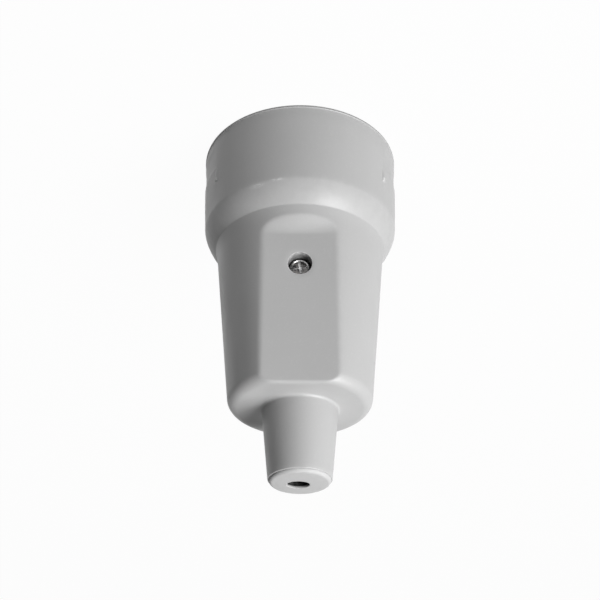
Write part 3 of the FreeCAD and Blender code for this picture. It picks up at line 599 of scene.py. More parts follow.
# up the barrel: millimetres from, to, and the number of rows
barrel_start = RIM_ROUND * (1 + slanted(barrel_lean)[1])
barrel_stop = step_centre[1] + SHOULDER_EDGE_ROUND * slanted(barrel_lean)[1]
barrel_runs = ((barrel_start, 0.7, 2), (0.7, 1.1, 8), (1.1, 2.0, 4), (2.0, 3.2, 8), (3.2, 10.2, 8),
               (10.2, 11.6, 12), (11.6, 14.5, 5), (14.5, 15.5, 9), (15.5, barrel_stop, 8))
barrel_rows = np.concatenate([np.linspace(*run, endpoint=False) for run in barrel_runs])

# from front to back on one side: degrees from, to, and the number of columns
block_half = math.degrees(HOLE_RINGS * HOLE_CELL / grip_radius(screw_z))
column_runs = ((0, block_half, HOLE_RINGS), (block_half, 34, 14), (34, 56, 8), (56, 59.5, 14),
               (59.5, 62, 3), (62, 118, 14), (118, 120.5, 3), (120.5, 124, 14), (124, 146, 8),
               (146, 162, 14), (162, 180, 6))
half = np.concatenate([np.linspace(*run, endpoint=False) for run in column_runs])
columns = np.radians(np.concatenate(([-180.0], -half[:0:-1], half)))
front_column = len(half)
print(len(columns), "columns round the housing")

# %% Half section
BORE_RADIUS = 21.65
RIM_LEAD = 0.25
GRIP_WALL = 2.8
BUSH_BORE = 5.5

neck_start = root_centre - NECK_ROOT_ROUND * slanted(neck_lean)
end_inside = (grip_radius(cavity_end) - GRIP_WALL, cavity_end)
section = {
    "rim": straight((BORE_RADIUS + RIM_LEAD, 0), (rim_centre[0], 0), 4),
    "rim_round": bend(rim_centre, RIM_ROUND, -90, barrel_lean, 8),
    "barrel": np.stack((barrel_radius(barrel_rows), barrel_rows), axis=1),
    "shoulder_edge": bend(step_centre, SHOULDER_EDGE_ROUND, barrel_lean, shoulder_start, 12),
    "shoulder": bend(shoulder_centre, SHOULDER_ROUND, shoulder_start, shoulder_turn, 18),
    "crease": bend(crease_centre, CREASE_ROUND, shoulder_turn + 180, flare_lean + 180, 6),
    "grip": np.stack((flared_radius(grip_rows), grip_rows), axis=1),
    "end_round": bend(end_centre, END_ROUND, grip_lean, 90 - END_LEAN, 18),
    "end": straight(end_start, root_centre - NECK_ROOT_ROUND * end_out, 8),
    "neck_root": bend(root_centre, NECK_ROOT_ROUND, 270 - END_LEAN, 180 + neck_lean, 10),
    "neck": straight(neck_start, (neck_radius(edge_centre[1]), edge_centre[1]), 18),
    "neck_edge": bend(edge_centre, NECK_EDGE_ROUND, neck_lean, 90, 5),
    "neck_face": straight((edge_centre[0], neck_end), (BUSH_BORE, neck_end), 2),
    "neck_bore": straight((BUSH_BORE, neck_end), (BUSH_BORE, cavity_end), 8),
    "end_inside": straight((BUSH_BORE, cavity_end), end_inside, 6),
    "cavity": np.stack((grip_radius(cavity_rows) - GRIP_WALL, cavity_rows), axis=1),
    "seat": straight((grip_radius(SEAT_Z) - GRIP_WALL, SEAT_Z), (BORE_RADIUS, SEAT_Z), 3),
    "bore": straight((BORE_RADIUS, SEAT_Z), (BORE_RADIUS, RIM_LEAD), 10),
    "rim_lead": straight((BORE_RADIUS, RIM_LEAD), (BORE_RADIUS + RIM_LEAD, 0), 2),
}
profile = np.concatenate(list(section.values()))
first_row = dict(zip(section, np.cumsum([0] + [len(run) for run in section.values()])))
print(len(profile), "rows along the half section")

# %% [markdown]
# ## Housing: the flats and their coves
# A flat is pressed into the grip at the front and the back, so that the socket does not roll. Cutting
# it with a box would leave sharp edges. Here each point's distance from the middle plane is limited
# instead, by a soft minimum. Towards the shoulder the limit rises in a curve, which makes the cove.

# %% Where the flats lie
FLAT_INSET = 2.1
FLAT_START = 7.15
FLAT_EXTRA_SLOPE = 0.014
FLAT_HALF_WIDTH = 9.0
FLAT_SINK = 0.12
COVE_SLOPE = 0.74
COVE_BEND = 2.6
COVE_DISH = 0.6
END_EDGE_ROUND = 0.7


def flat_limit(x, z):
    """Distance of a flat from the middle plane: the grip's line less the inset, which grows a little
    towards the end, less a shallow sink that is deepest along the middle, plus the cove. The cove rises
    with the square of the distance before the flat's start, and past the bend in a straight slope, less
    towards its sides. The last stretch turns over the end's edge in a quarter circle."""
    before = np.maximum(shoulder_z + FLAT_START - z, 0.0)
    bent = np.minimum(before, COVE_BEND)
    aside = np.abs(x) / FLAT_HALF_WIDTH
    cove = COVE_SLOPE * (bent ** 2 / (2 * COVE_BEND) + before - bent)
    cove = cove * (1.0 - COVE_DISH * np.minimum(aside, 1.0) ** 2)
    extra = FLAT_EXTRA_SLOPE * np.maximum(z - shoulder_z - FLAT_START, 0.0)
    sink = FLAT_SINK * np.maximum(1.0 - aside ** 2, 0.0) * (1.0 - fade(before, 0.0, COVE_BEND))
    past = np.clip(z - end_z + END_EDGE_ROUND, 0.0, END_EDGE_ROUND)
    edge = END_EDGE_ROUND - np.sqrt(END_EDGE_ROUND ** 2 - past ** 2)
    return grip_radius(z) - FLAT_INSET - extra - sink + cove - edge


def cavity_limit(x, z):
    """The same for the cavity: the grip's line less the inset and the wall, at any x."""
    return grip_radius(z) - FLAT_INSET - GRIP_WALL


print(f"flat at the screw: {flat_limit(0.0, screw_z):.2f} mm from the middle")

# %% [markdown]
# ## Housing: trim on the barrel
# A fine step runs round behind the rim. Each side of the barrel has a shallow dip and behind it a pad
# that stands a little proud, with a small nib along each edge. All of it is moulded with the barrel.
# Meshes laid on top would show a seam, so tenths of a millimetre are added to the grid's radius instead.

# %% Trim the barrel
RIM_STEP = 0.14
STEP_HEIGHTS = (0.7, 0.9, 0.9, 4.5)
PAD_EDGE = 57.7
PAD_SOFT = 1.0
PAD_PROUD = 0.08
PAD_HEIGHTS = (10.0, 10.5, 15.0, 20.5)
DIP_DEPTH = 0.2
DIP_FADE = 10.0
DIP_HEIGHTS = (3.4, 4.4, 9.0, 10.0)
NIB_PROUD = 0.36
NIB_SIDES = (-1.3, 0.0, 1.0, 2.2)
NIB_START = 10.6
NIB_END = 14.5
NIB_TIP = 0.5

radius, level = np.split(profile, 2, axis=1)
height = np.repeat(level, len(columns), axis=1)
row_number = np.arange(len(profile))[:, None]


def rows_from(start, stop):
    """True on the rows from the start of one run to the start of another."""
    return (row_number >= first_row[start]) & (row_number < first_row[stop])


on_barrel = rows_from("barrel", "shoulder_edge")
side_angle = 90.0 - np.abs(np.degrees(np.abs(columns)) - 90.0)
step = RIM_STEP * hump(level, *STEP_HEIGHTS)
dip = DIP_DEPTH * fade(side_angle, PAD_EDGE, PAD_EDGE + DIP_FADE) * hump(level, *DIP_HEIGHTS)
pad = PAD_PROUD * fade(side_angle, PAD_EDGE, PAD_EDGE + PAD_SOFT) * hump(level, *PAD_HEIGHTS)
nib_width = hump(side_angle, *(PAD_EDGE + np.array(NIB_SIDES)))
nib_length = np.sqrt(fade(level, NIB_START, NIB_END)) * (1.0 - fade(level, NIB_END, NIB_END + NIB_TIP))
nib = NIB_PROUD * nib_width * nib_length
trimmed = radius + on_barrel * (np.maximum(pad, nib) - dip - step)
print(f"nibs {NIB_PROUD} mm proud, dips {DIP_DEPTH} mm deep")

# %% Press the flats
CAVITY_SOFTNESS = 0.3

# how softly a flat meets the round grip: height and softness
SOFTNESS = ((28.4, 0.2), (36.0, 0.45), (end_z - 7.0, 0.45), (end_z - 1.0, 0.38))

on_grip = rows_from("crease", "neck_root")
in_cavity = rows_from("end_inside", "seat")
across = trimmed * np.sin(columns)
unpressed = trimmed * np.cos(columns)
softness = np.interp(level, *np.transpose(SOFTNESS))
outer_limit = flat_limit(across, level)
away = np.abs(unpressed)
pressed = np.where(on_grip, soft_min(away, outer_limit, softness), away)
inside = soft_min(away, cavity_limit(across, level), CAVITY_SOFTNESS)
forward = np.sign(unpressed) * np.where(in_cavity, inside, pressed)
print(f"the flats take off up to {np.max(away - pressed):.2f} mm")

# %% [markdown]
# ## Housing: the screw hole
# The screw sits deep in a round hole in the front flat. A boolean would cut it, but leaves long thin
# faces that shade badly. Instead a square block of the grid is bent into rings: each square ring of
# points becomes a circle, the inner circles go down to the seat, and the outer ones fade back into the
# square grid. The boss inside is made the same way, and the two are joined by the shank hole's wall.

# %% Bend the block into rings
HEAD_DEPTH = 2.1
HEAD_HEIGHT = 1.9
BOSS_FLOOR = 1.8
SHANK_RING = 3
FREE_RING = 9.5

# for each ring from the middle out: its radius, how far it is sunk, and how far its edge is rounded
HOLE_RADII = (0, .55, 1.1, 1.65, 2.25, 2.7, 2.85, 2.85, 2.85, 2.88, 3.0, 3.6, 4.4, 5.3, 6.3)
HOLE_SHARES = 7 * (1,) + (.5,) + 7 * (0,)
HOLE_EDGE = 8 * (0,) + (.13, .04) + 5 * (0,)
BOSS_RADII = (0, .55, 1.1, 1.65, 2.5, 3.4, 4.3, 4.75, 4.75, 4.75, 4.95, 5.05, 5.15, 5.25, 5.4)
BOSS_SHARES = 8 * (1,) + (.5,) + 6 * (0,)

head_seat = grip_radius(screw_z) - FLAT_INSET - HEAD_DEPTH - HEAD_HEIGHT
boss_end = head_seat - BOSS_FLOOR
steps = np.arange(-HOLE_RINGS, HOLE_RINGS + 1)
step_x, step_z = np.meshgrid(steps, steps)
ring = np.maximum(np.abs(step_x), np.abs(step_z))
sideways = np.abs(step_x) >= np.abs(step_z)
larger = np.where(sideways, step_x, step_z)
eighth = np.pi / 4 * np.where(sideways, step_z, step_x) / np.where(larger == 0, 1, larger)
round_x = np.sign(larger) * np.where(sideways, np.cos(eighth), np.sin(eighth))
round_z = np.sign(larger) * np.where(sideways, np.sin(eighth), np.cos(eighth))
hole_columns = front_column + steps
hole_rows = first_row["grip"] + np.searchsorted(grip_rows, screw_z - HOLE_CELL / 2) + steps
boss_rows = first_row["cavity"] + np.searchsorted(-cavity_rows, -screw_z - HOLE_CELL / 2) - steps


def bend_into_rings(rows, radii, shares, bottom, face, edge):
    """Moves a block's points onto rings: each point's direction times its ring's radius, faded into
    the old place over the outer rings. shares says how far each ring has gone from the face down to
    the bottom, and edge how far it is rounded."""
    block = np.ix_(rows, hole_columns)
    keep = fade(ring, FREE_RING, HOLE_RINGS)
    across[block] = keep * across[block] + (1 - keep) * np.array(radii)[ring] * round_x
    height[block] = keep * height[block] + (1 - keep) * (screw_z + np.array(radii)[ring] * round_z)
    share = np.array(shares)[ring]
    plane = face(across[block], height[block])
    forward[block] = share * bottom + (1 - share) * plane - np.array(edge)[ring]


bend_into_rings(hole_rows, HOLE_RADII, HOLE_SHARES, head_seat, flat_limit, HOLE_EDGE)
bend_into_rings(boss_rows, BOSS_RADII, BOSS_SHARES, boss_end, cavity_limit, np.zeros(HOLE_RINGS + 1))
print(f"screw hole {2 * max(HOLE_RADII[:9]):.1f} mm wide at z {screw_z:.2f}")

# %% Faces of the housing
def square_loop(rows, size):
    """Grid numbers of the points on one square ring, in order round the hole."""
    block = np.arange(height.size).reshape(height.shape)[np.ix_(rows, hole_columns)]
    low, high = HOLE_RINGS - size, HOLE_RINGS + size
    return np.concatenate((block[low, low:high], block[low:high, high],
                           block[high, high:low:-1], block[high:low:-1, low]))


quads = joined(height.shape)
kept = np.ones(quads.shape[:2], bool)
hole_cells = np.arange(-SHANK_RING, SHANK_RING)
for rows in (hole_rows, boss_rows):
    kept[np.ix_(rows[HOLE_RINGS] + hole_cells, front_column + hole_cells)] = False
outer_loop = square_loop(hole_rows, SHANK_RING)
inner_loop = square_loop(boss_rows, SHANK_RING)
wall_corners = (outer_loop, np.roll(outer_loop, -1), np.roll(inner_loop, -1), inner_loop)
housing_faces = np.concatenate((quads[kept], np.stack(wall_corners, axis=-1)))
print(len(housing_faces), "faces on the housing")

# %% [markdown]
# ## Housing: wear, painted highlights and painted shade
# A used socket wears on its edges and its shoulder, with a few scuffs. The nibs' ends and a ring round
# the screw hole's edge are painted pale as highlights, and the screw hole and the rim's edge are painted
# darker as shade. A painted picture could show this, but the grid already knows these places, so both
# are values at its points, which the finish breaks up into patches.

# %% Wear, painted highlights and painted shade
RUN_WEAR = {"end_round": 0.1, "neck_edge": 0.5}
FOLD_WEAR = 0.25
SHOULDER_WEAR = 0.3
# painted highlight: the nibs' ends are painted pale as a glint
NIB_GLINT = 2.0
# painted highlight: a pale ring round the screw hole's edge
HOLE_EDGE_HIGHLIGHT = 1.8
# painted shade: darker along the rim's rounded edge and at the screw hole's edge
EDGE_SHADE = 0.45

# scuffs: degrees round the axis from the front and height, then how far they reach in both
SCUFF_WEAR = 1.8
SCUFFS = ((25.0, 22.8), (13.0, 22.3), (-104.0, 22.6), (151.0, 22.4))
SCUFF_SIZE = (4.6, 0.55)

on_shoulder = rows_from("barrel", "crease")
crest = window(level, BARREL_END - 2.0, shoulder_z + 1.0, 2.0)
fold = np.clip(1.0 - np.abs(away - outer_limit) / softness, 0.0, 1.0)
nib_top = window(level, NIB_END - 1.0, NIB_END + 0.8, 0.5)
nib_side = window(side_angle, PAD_EDGE - 1.0, PAD_EDGE + 2.2, 0.8)
run_wear = np.concatenate([np.full(len(run), RUN_WEAR.get(name, 0.0)) for name, run in section.items()])
wear_and_highlight = np.maximum(run_wear[:, None], FOLD_WEAR * fold * on_grip)
wear_and_highlight = np.maximum(wear_and_highlight, SHOULDER_WEAR * on_shoulder * crest)
for angle, middle in SCUFFS:
    aside = (np.degrees(columns) - angle) / SCUFF_SIZE[0]
    along = (level - middle) / SCUFF_SIZE[1]
    wear_and_highlight = np.maximum(wear_and_highlight, SCUFF_WEAR * on_shoulder * np.exp(-aside ** 2 - along ** 2))
# painted highlight: a pale glint painted on the nibs' ends
wear_and_highlight = np.maximum(wear_and_highlight, NIB_GLINT * on_barrel * nib_top * nib_side)
hole_block = np.ix_(hole_rows, hole_columns)
# painted highlight: a pale ring round the screw hole's edge
wear_and_highlight[hole_block] = np.maximum(wear_and_highlight[hole_block], HOLE_EDGE_HIGHLIGHT * window(ring, 7.5, 9.6, 0.5))

at_rim = rows_from("rim_round", "shoulder_edge")
# painted shade along the rim's rounded edge
shade_amount = np.repeat(EDGE_SHADE * at_rim * (1.0 - fade(level, 0.55, 0.85)), len(columns), axis=1)
# painted shade in the screw hole: darker the deeper it goes, and at its edge ring
shade_amount[hole_block] = np.sqrt(np.array(HOLE_SHARES))[ring] + EDGE_SHADE * window(ring, 7.5, 8.5, 0.5)
print(f"rubbed: {np.mean(wear_and_highlight > 0.2):.0%} of the points, dirty: {np.mean(shade_amount > 0.2):.0%}")

# %% Housing mesh
MOULDED_CREASE = 38.0

housing_points = np.stack((across, -forward, height), axis=-1)
new_piece("socket_housing", housing_points, housing_faces, "housing",
          housing_plastic, MOULDED_CREASE, {WEAR_AND_HIGHLIGHT: wear_and_highlight, PAINTED_SHADE: shade_amount})

# %% [markdown]
# ## Cable bush
# The bush is a soft grey moulding that closes the neck: a slightly domed end with a well rounded edge, a
# stem in the neck's bore, a lip behind the end wall and a tight cable hole, squeezed a little out of
# round. A half section turned round the axis gives all but the squeeze, which then moves the points near
# the hole. The flange's rounded edges leave a fine seam at the neck.

# %% Half section of the bush
FLANGE_SETBACK = 0.28
FLANGE_ROUND = 0.85
FLANGE_SEAM = 0.06
STEM_GAP = 0.1
CABLE_HOLE = 2.55
HOLE_ROUND = 0.18
CROWN = 0.12
CROWN_POINTS = 14
THROAT = 0.45
PASSAGE = 4.2
LIP = 0.7
LIP_LENGTH = 1.6

tip_z = box_mm("cable_bush")[1].z
flange = NECK_TIP - FLANGE_SETBACK
stem = BUSH_BORE - STEM_GAP
passage_z = tip_z - THROAT - (PASSAGE - CABLE_HOLE)
lip_z = cavity_end - LIP_LENGTH
dome = straight((CABLE_HOLE + HOLE_ROUND, tip_z), (flange - FLANGE_ROUND, tip_z), CROWN_POINTS)
dome[:, 1] -= CROWN * (np.arange(CROWN_POINTS) / CROWN_POINTS) ** 2
dome_lean = math.degrees(math.atan(2 * CROWN / (flange - FLANGE_ROUND - CABLE_HOLE - HOLE_ROUND)))
bush_section = np.concatenate((
    dome,
    bend((flange - FLANGE_ROUND, tip_z - CROWN - FLANGE_ROUND), FLANGE_ROUND, 90 - dome_lean, 0, 10),
    bend((flange - FLANGE_SEAM, neck_end + FLANGE_SEAM), FLANGE_SEAM, 0, -90, 4),
    zigzag(((flange - FLANGE_SEAM, neck_end), (stem, neck_end), (stem, cavity_end),
            (BUSH_BORE + LIP, cavity_end), (stem, lip_z), (PASSAGE, lip_z), (PASSAGE, passage_z),
            (CABLE_HOLE, tip_z - THROAT), (CABLE_HOLE, tip_z - HOLE_ROUND)), (3, 8, 2, 4, 2, 10, 5, 4)),
    bend((CABLE_HOLE + HOLE_ROUND, tip_z - HOLE_ROUND), HOLE_ROUND, 180, 90, 4),
))
print(len(bush_section), "rows along the bush")

# %% Turn the bush
BUSH_COLUMNS = 120
HOLE_SQUEEZE = 0.8
HOLE_SHIFT = (0.4, 0.5)
BUSH_WEAR = 0.3


def turned_points(half_section, count):
    """A half section of (radius, height) turned about Z: (r sin a, -r cos a, height) at even angles."""
    angle = 2 * np.pi * np.arange(count) / count
    r, z = half_section[:, :1], half_section[:, 1:]
    return np.stack((r * np.sin(angle), -r * np.cos(angle), z + 0 * angle), axis=-1)


bush_points = turned_points(bush_section, BUSH_COLUMNS)
from_axis = np.hypot(bush_points[..., 0], bush_points[..., 1])
near_hole = 1.0 - fade(from_axis, CABLE_HOLE + 0.2, flange - 0.8)
in_throat = fade(bush_points[..., 2], passage_z, tip_z - THROAT)
squeezed = near_hole * in_throat
bush_points[..., 1] *= 1.0 - (1.0 - HOLE_SQUEEZE) * squeezed
bush_points[..., :2] += np.array(HOLE_SHIFT) * squeezed[..., None]
# painted shade: the cable hole's wall is coloured darker the deeper it goes
in_hole = 1.0 - fade(bush_points[..., 2], tip_z - THROAT - 0.4, tip_z - HOLE_ROUND)
bush_shade = in_hole * (from_axis < PASSAGE + 0.1)
at_edge = window(bush_section[:, :1], flange - 0.6, flange + 0.5, 0.3)
bush_worn = np.repeat(BUSH_WEAR * at_edge, BUSH_COLUMNS, axis=1)
new_piece("soft_cable_bush", bush_points, joined(bush_points.shape), "cable_bush",
          bush_rubber, MOULDED_CREASE, {WEAR_AND_HIGHLIGHT: bush_worn, PAINTED_SHADE: bush_shade})

# %% [markdown]
# ## Zinc-plated steel
# The screws, nuts and contact springs are steel with a thin zinc coat. One even grey would look like
# paint: under a lens the coat has faint warm and cool clouds and small dull spots. The screws' own finish
# comes from the same function: its zinc is painted near black as shade, and it turns bright again where
# the screws' meshes mark the drive's arms and the head's edge, as painted highlights and wear from the
# driver.

# %% Zinc-plated steel
BRIGHT_ZINC = ((0.60, 0.62, 0.65, 1.0), (0.72, 0.70, 0.64, 1.0))
# painted shade: the screws' zinc coloured near black, as a head looks deep in its hole's shade
SHADED_ZINC = ((0.02, 0.02, 0.025, 1.0), (0.26, 0.25, 0.24, 1.0))


def plated_steel(name, coat):
    """A zinc coat between two tones, bright again where the mesh's value is high: wear, and painted
    highlights on the drive and the head's edge.
    """
    material, tree = new_finish(name, Metallic=1.0)
    clouds = spread(tree, spots(tree, 0.9, 4.0), 0.0, 1.0, 0.3, 0.7)
    dull = spread(tree, spots(tree, 0.35, 3.0), 0.0, 1.0, 0.58, 0.72)
    zinc = mix_colours(tree, clouds, *coat)
    spotted = mix_colours(tree, times(tree, dull, 0.4), zinc, grey(0.3 * coat[0][1]))
    patches = spread(tree, spots(tree, 0.5, 3.0), 0.35, 1.0, 0.4, 0.6)
    wear_and_highlight = times(tree, carried(tree, WEAR_AND_HIGHLIGHT), patches)
    settle(tree,
           Base_Color=mix_colours(tree, wear_and_highlight, spotted, grey(0.85)),
           Roughness=calculate(tree, "ADD", spread(tree, clouds, 0.18, 0.32), times(tree, dull, 0.2)),
           Normal=relief(tree, spots(tree, 0.12, 2.0), 0.004, relief(tree, clouds, 0.012)))
    return material


screw_steel = plated_steel("screw_steel", BRIGHT_ZINC)
shaded_screw_steel = plated_steel("painted_shade_screw_steel", SHADED_ZINC)
print("finishes:", screw_steel.name, shaded_screw_steel.name)

# %% [markdown]
# ## Screws
# Eight small screws hold the socket together. Each has a pan head with rounded shoulders, a cross recess
# or a slot, and a thread. They could be drilled and threaded with booleans; here one height map is laid
# over the head's polar grid for the drive, and the shank's radius follows a helix for the thread.

# %% Screw surface
SCREW_COLUMNS = 96
THREAD_PITCH = 0.5
THREAD_DEPTH = 0.28
THREAD_NECK = 0.5
THREAD_STEP = 0.09

# width, depth and crown of both drives, and how far a cross stays from the head's edge
SLOT_DRIVE = (0.7, 0.8, 0.12)
CROSS_DRIVE = (0.5, 1.1, 0.42)
CROSS_MARGIN = 0.85


def drive_depth(x, y, reach, width, depth, slotted):
    """Depth of the drive at a point of the head. An arm is a trough of the given width along an axis.
    A slot is one arm across the whole head. A cross is the deeper of two, shallower outwards."""
    def arm(along, aside):
        sides = 1.0 - fade(np.abs(aside), width / 2 - 0.08, width / 2 + 0.1)
        if slotted:
            return depth * sides
        ends = 1.0 - fade(np.abs(along), reach - 0.25, reach + 0.1)
        return depth * sides * ends * (1.0 - 0.45 * np.abs(along) / reach)

    return arm(x, y) if slotted else np.maximum(arm(x, y), arm(y, x))


def screw_points(head, head_height, rounding, shank, length, turn, slotted=False):
    """A screw along Z with the head's underside at 0, and a value for each point that makes it bright:
    wear from the driver, and painted highlights on the drive's arms and the head's edge.
    The half section is a crowned top, a rounded shoulder, the head's side and underside, and the shank.
    Under a short neck the shank's radius falls by the thread's depth and rises again once in each
    pitch, shifted by the angle. The drive is turned by `turn` degrees."""
    shank_rows = np.linspace(-0.02, -length + 0.35, max(int(length / THREAD_STEP), 20))
    half_section = np.concatenate((
        straight((0, head_height), (head - rounding, head_height), 40),
        bend((head - rounding, head_height - rounding), rounding, 90, 0, 10),
        zigzag(((head, head_height - rounding), (head, 0), (shank, 0)), (5, 4)),
        np.stack((np.full(len(shank_rows), shank), shank_rows), axis=1),
        straight((shank - THREAD_DEPTH, -length + 0.15), (0, -length), 4),
        [(0.0, -length)]))
    points = turned_points(half_section, SCREW_COLUMNS)
    x, y, z = np.moveaxis(points, -1, 0)
    from_axis = np.hypot(x, y)
    width, depth, crown = SLOT_DRIVE if slotted else CROSS_DRIVE
    on_top = fade(z, head_height - 0.02, head_height)
    domed = z - crown * np.clip(from_axis / head, 0, 1) ** 2 * on_top
    cosine, sine = slanted(turn)
    drive = drive_depth(cosine * x + sine * y, cosine * y - sine * x, head - CROSS_MARGIN,
                        width, depth, slotted)
    # painted highlight: the drive's arms and the head's rounded edge get a bright value, which also
    # stands for wear from the driver
    drive_wear_and_highlight = fade(domed - head_height + drive, 0.0, 0.15) * (z > 0.0)
    edge_wear_and_highlight = 0.5 * window(from_axis, head - rounding - 0.1, head, 0.25)
    drive_wear_and_highlight = np.maximum(drive_wear_and_highlight, edge_wear_and_highlight * (z > head_height - rounding))
    z = np.where(z > 0.0, np.minimum(domed, head_height - drive), z)
    angle = np.arctan2(x, -y)
    wave = 0.5 - 0.5 * np.cos(2 * np.pi * z / THREAD_PITCH - angle)
    threaded = hump(-z, THREAD_NECK * 0.5, THREAD_NECK, length - 0.5, length - 0.3)
    shrink = 1.0 - THREAD_DEPTH / shank * wave * threaded * (z < 0)
    return np.stack((x * shrink, y * shrink, z), axis=-1), drive_wear_and_highlight


def faced(points, facing, place):
    """Turns a screw from +Z to the way that it faces, and moves its underside to its place."""
    x, y, z = np.moveaxis(points, -1, 0)
    turned = {"up": (x, y, z), "front": (x, -z, y), "back": (x, z, -y)}[facing]
    return np.stack(turned, axis=-1) + np.array(place)


print("screw surface ready")

# %% Place the screws
SCREW_CREASE = 30.0
LARGE = {"head_height": HEAD_HEIGHT, "rounding": 0.75, "shank": 1.5}
SMALL = {"head_height": 1.5, "rounding": 0.5, "shank": 1.2}
CARRIER_HEAD = 2.2
TERMINAL_HEAD = 1.9
TERMINAL_LENGTH = 2.6
CLAMP_HEAD = 2.5


def put_screws(name, replaced, facing, places, **screw):
    """All the screws of one CAD node as one piece. The named values go to the screw's surface."""
    one, drive_wear_and_highlight = screw_points(**screw)
    faces = joined(one.shape, round_rows=False).reshape(-1, 4)
    count = one.shape[0] * one.shape[1]
    points = np.concatenate([faced(one, facing, place).reshape(-1, 3) for place in places])
    all_faces = np.concatenate([faces + number * count for number in range(len(places))])
    new_piece(name, points, all_faces, replaced, shaded_screw_steel, SCREW_CREASE,
              {WEAR_AND_HIGHLIGHT: np.tile(drive_wear_and_highlight.reshape(-1), len(places))})


low, high = box_mm("housing_screw")
middle_z = (low.z + high.z) / 2
put_screws("housing_cross_screw", "housing_screw", "front", [(0, -head_seat, middle_z)], **LARGE,
           head=(high.x - low.x) / 2, length=high.y + head_seat, turn=10.0)

low, high = box_mm("carrier_screws")
corner = np.array((high.x - CARRIER_HEAD, high.y - CARRIER_HEAD))
under_z = high.z - SMALL["head_height"]
put_screws("insert_fixing_screws", "carrier_screws", "up", [(*corner, under_z), (*-corner, under_z)],
           **SMALL, head=CARRIER_HEAD, length=under_z - low.z, turn=35.0)

low, high = box_mm("terminal_screws")
pin_x = high.x - TERMINAL_HEAD
pin_y = low.y + TERMINAL_LENGTH
earth_y = high.y - SMALL["head_height"]
middle_z = (low.z + high.z) / 2
put_screws("slotted_terminal_screws", "terminal_screws", "back",
           [(pin_x, pin_y, middle_z), (-pin_x, pin_y, middle_z), (0, earth_y, middle_z)],
           **SMALL, head=TERMINAL_HEAD, length=TERMINAL_LENGTH, turn=25.0, slotted=True)

low, high = box_mm("cord_clamp_screws")
clamp_x = high.x - CLAMP_HEAD
clamp_y = high.y - LARGE["head_height"]
middle_z = (low.z + high.z) / 2
put_screws("cord_clamp_cross_screws", "cord_clamp_screws", "back",
           [(clamp_x, clamp_y, middle_z), (-clamp_x, clamp_y, middle_z)],
           **LARGE, head=CLAMP_HEAD, length=clamp_y - low.y, turn=20.0)

# %% [markdown]
# ## Black and off-white mouldings
# The insert with the plug well is moulded in black, the carrier and the cord clamp behind it in
# off-white. The black one has fine scratches, and pale rub marks that plugs leave round the pin holes.
# They could be painted, but noise and the distance from a pin place them as well.

# %% Black and off-white mouldings
PIN_RUB = (0.0028, 0.0052)

insert_plastic, tree = new_finish("insert_plastic")
place = node(tree, "ShaderNodeTexCoord", {}).outputs["Object"]
parts = node(tree, "ShaderNodeSeparateXYZ", {"Vector": place})
mounts = {mount["name"]: mount["pos_m"] for mount in frame["record"]["mounts"]}
from_middle = calculate(tree, "ABSOLUTE", parts.outputs[0], 0.0)
side = calculate(tree, "SUBTRACT", from_middle, abs(mounts["live_pin_grip"][0]))
squares = calculate(tree, "ADD", times(tree, side, side), times(tree, parts.outputs[1], parts.outputs[1]))
from_pin = calculate(tree, "SQRT", squares, 0.0)
near_pin = spread(tree, from_pin, 1.0, 0.0, *PIN_RUB)
chafed = spread(tree, spots(tree, 0.3, 4.0, (1.0, 1.0, 6.0)), 0.0, 1.0, 0.52, 0.75)
rub = times(tree, near_pin, chafed)
streaks = spread(tree, spots(tree, 0.5, 2.0, (1.0, 1.0, 12.0)), 0.0, 1.0, 0.66, 0.82)
marks = calculate(tree, "MAXIMUM", times(tree, rub, 0.6), times(tree, streaks, 0.3))
black = mix_colours(tree, spots(tree, 6.0, 3.0), (0.040, 0.040, 0.044, 1.0), (0.052, 0.052, 0.056, 1.0))
satin = spread(tree, spots(tree, 3.0, 3.0), 0.38, 0.5)
settle(tree,
       Base_Color=mix_colours(tree, marks, black, grey(0.14)),
       Roughness=calculate(tree, "ADD", satin, times(tree, marks, 0.2)),
       Normal=relief(tree, marks, -0.006, relief(tree, spots(tree, 0.25, 2.0), 0.008)))

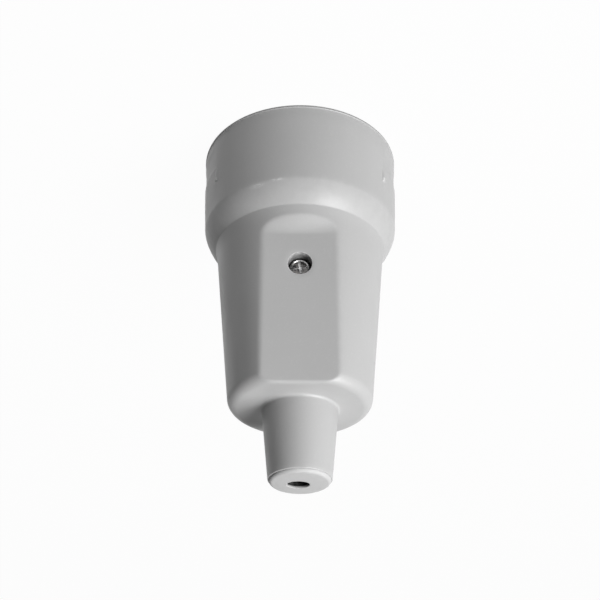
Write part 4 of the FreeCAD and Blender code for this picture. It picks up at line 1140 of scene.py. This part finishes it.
carrier_plastic, tree = new_finish("carrier_plastic")
flow = spots(tree, 5.0, 4.0, (1.0, 1.0, 3.0))
settle(tree,
       Base_Color=mix_colours(tree, flow, (0.58, 0.56, 0.50, 1.0), (0.66, 0.64, 0.58, 1.0)),
       Roughness=spread(tree, spots(tree, 2.0, 3.0), 0.42, 0.56),
       Normal=relief(tree, spots(tree, 0.3, 2.0), 0.008, relief(tree, flow, 0.02)))
print("finishes:", insert_plastic.name, carrier_plastic.name)

# %% [markdown]
# ## Brass and plated strip
# The contact sleeves and the earth post are turned from brass, so they carry fine rings across their
# length and a little brown tarnish. The earth stirrup is bent from plated strip, with fine lines from
# drawing and faint lighter patches. They could be engraved, but stretched noise is enough.

# %% Brass and plated strip
contact_brass, tree = new_finish("contact_brass", Metallic=1.0)
tarnish = spread(tree, spots(tree, 1.5, 5.0), 0.0, 1.0, 0.45, 0.75)
rings = spots(tree, 0.12, 2.0, (40.0, 40.0, 1.0))
turned_rough = spread(tree, rings, 0.2, 0.34)
settle(tree,
       Base_Color=mix_colours(tree, times(tree, tarnish, 0.6),
                              (0.78, 0.58, 0.27, 1.0), (0.45, 0.30, 0.13, 1.0)),
       Roughness=calculate(tree, "ADD", turned_rough, times(tree, tarnish, 0.15)),
       Normal=relief(tree, rings, 0.006))

earth_strip, tree = new_finish("earth_strip", Metallic=1.0)
drawn = spots(tree, 0.1, 3.0, (1.0, 8.0, 40.0))
patches = spots(tree, 2.5, 3.0)
drawn_rough = spread(tree, drawn, 0.2, 0.36)
settle(tree,
       Base_Color=mix_colours(tree, patches, (0.66, 0.65, 0.61, 1.0), (0.76, 0.75, 0.71, 1.0)),
       Roughness=calculate(tree, "ADD", drawn_rough, spread(tree, patches, 0.0, 0.1)),
       Normal=relief(tree, drawn, 0.005))
print("finishes:", contact_brass.name, earth_strip.name)

# %% [markdown]
# ## Finishes on the CAD nodes
# The inner pieces are plain turned, bent or moulded ones. They could be rebuilt like the housing, but
# their CAD shapes are right. Each node's row in the record names a finish, so a loop dresses all of them.

# %% Finishes on the CAD nodes
for row in frame["record"]["subparts"]:
    for slot in frame["nodes"][row["node"]].material_slots:
        slot.material = finishes[row["material_slot"]]
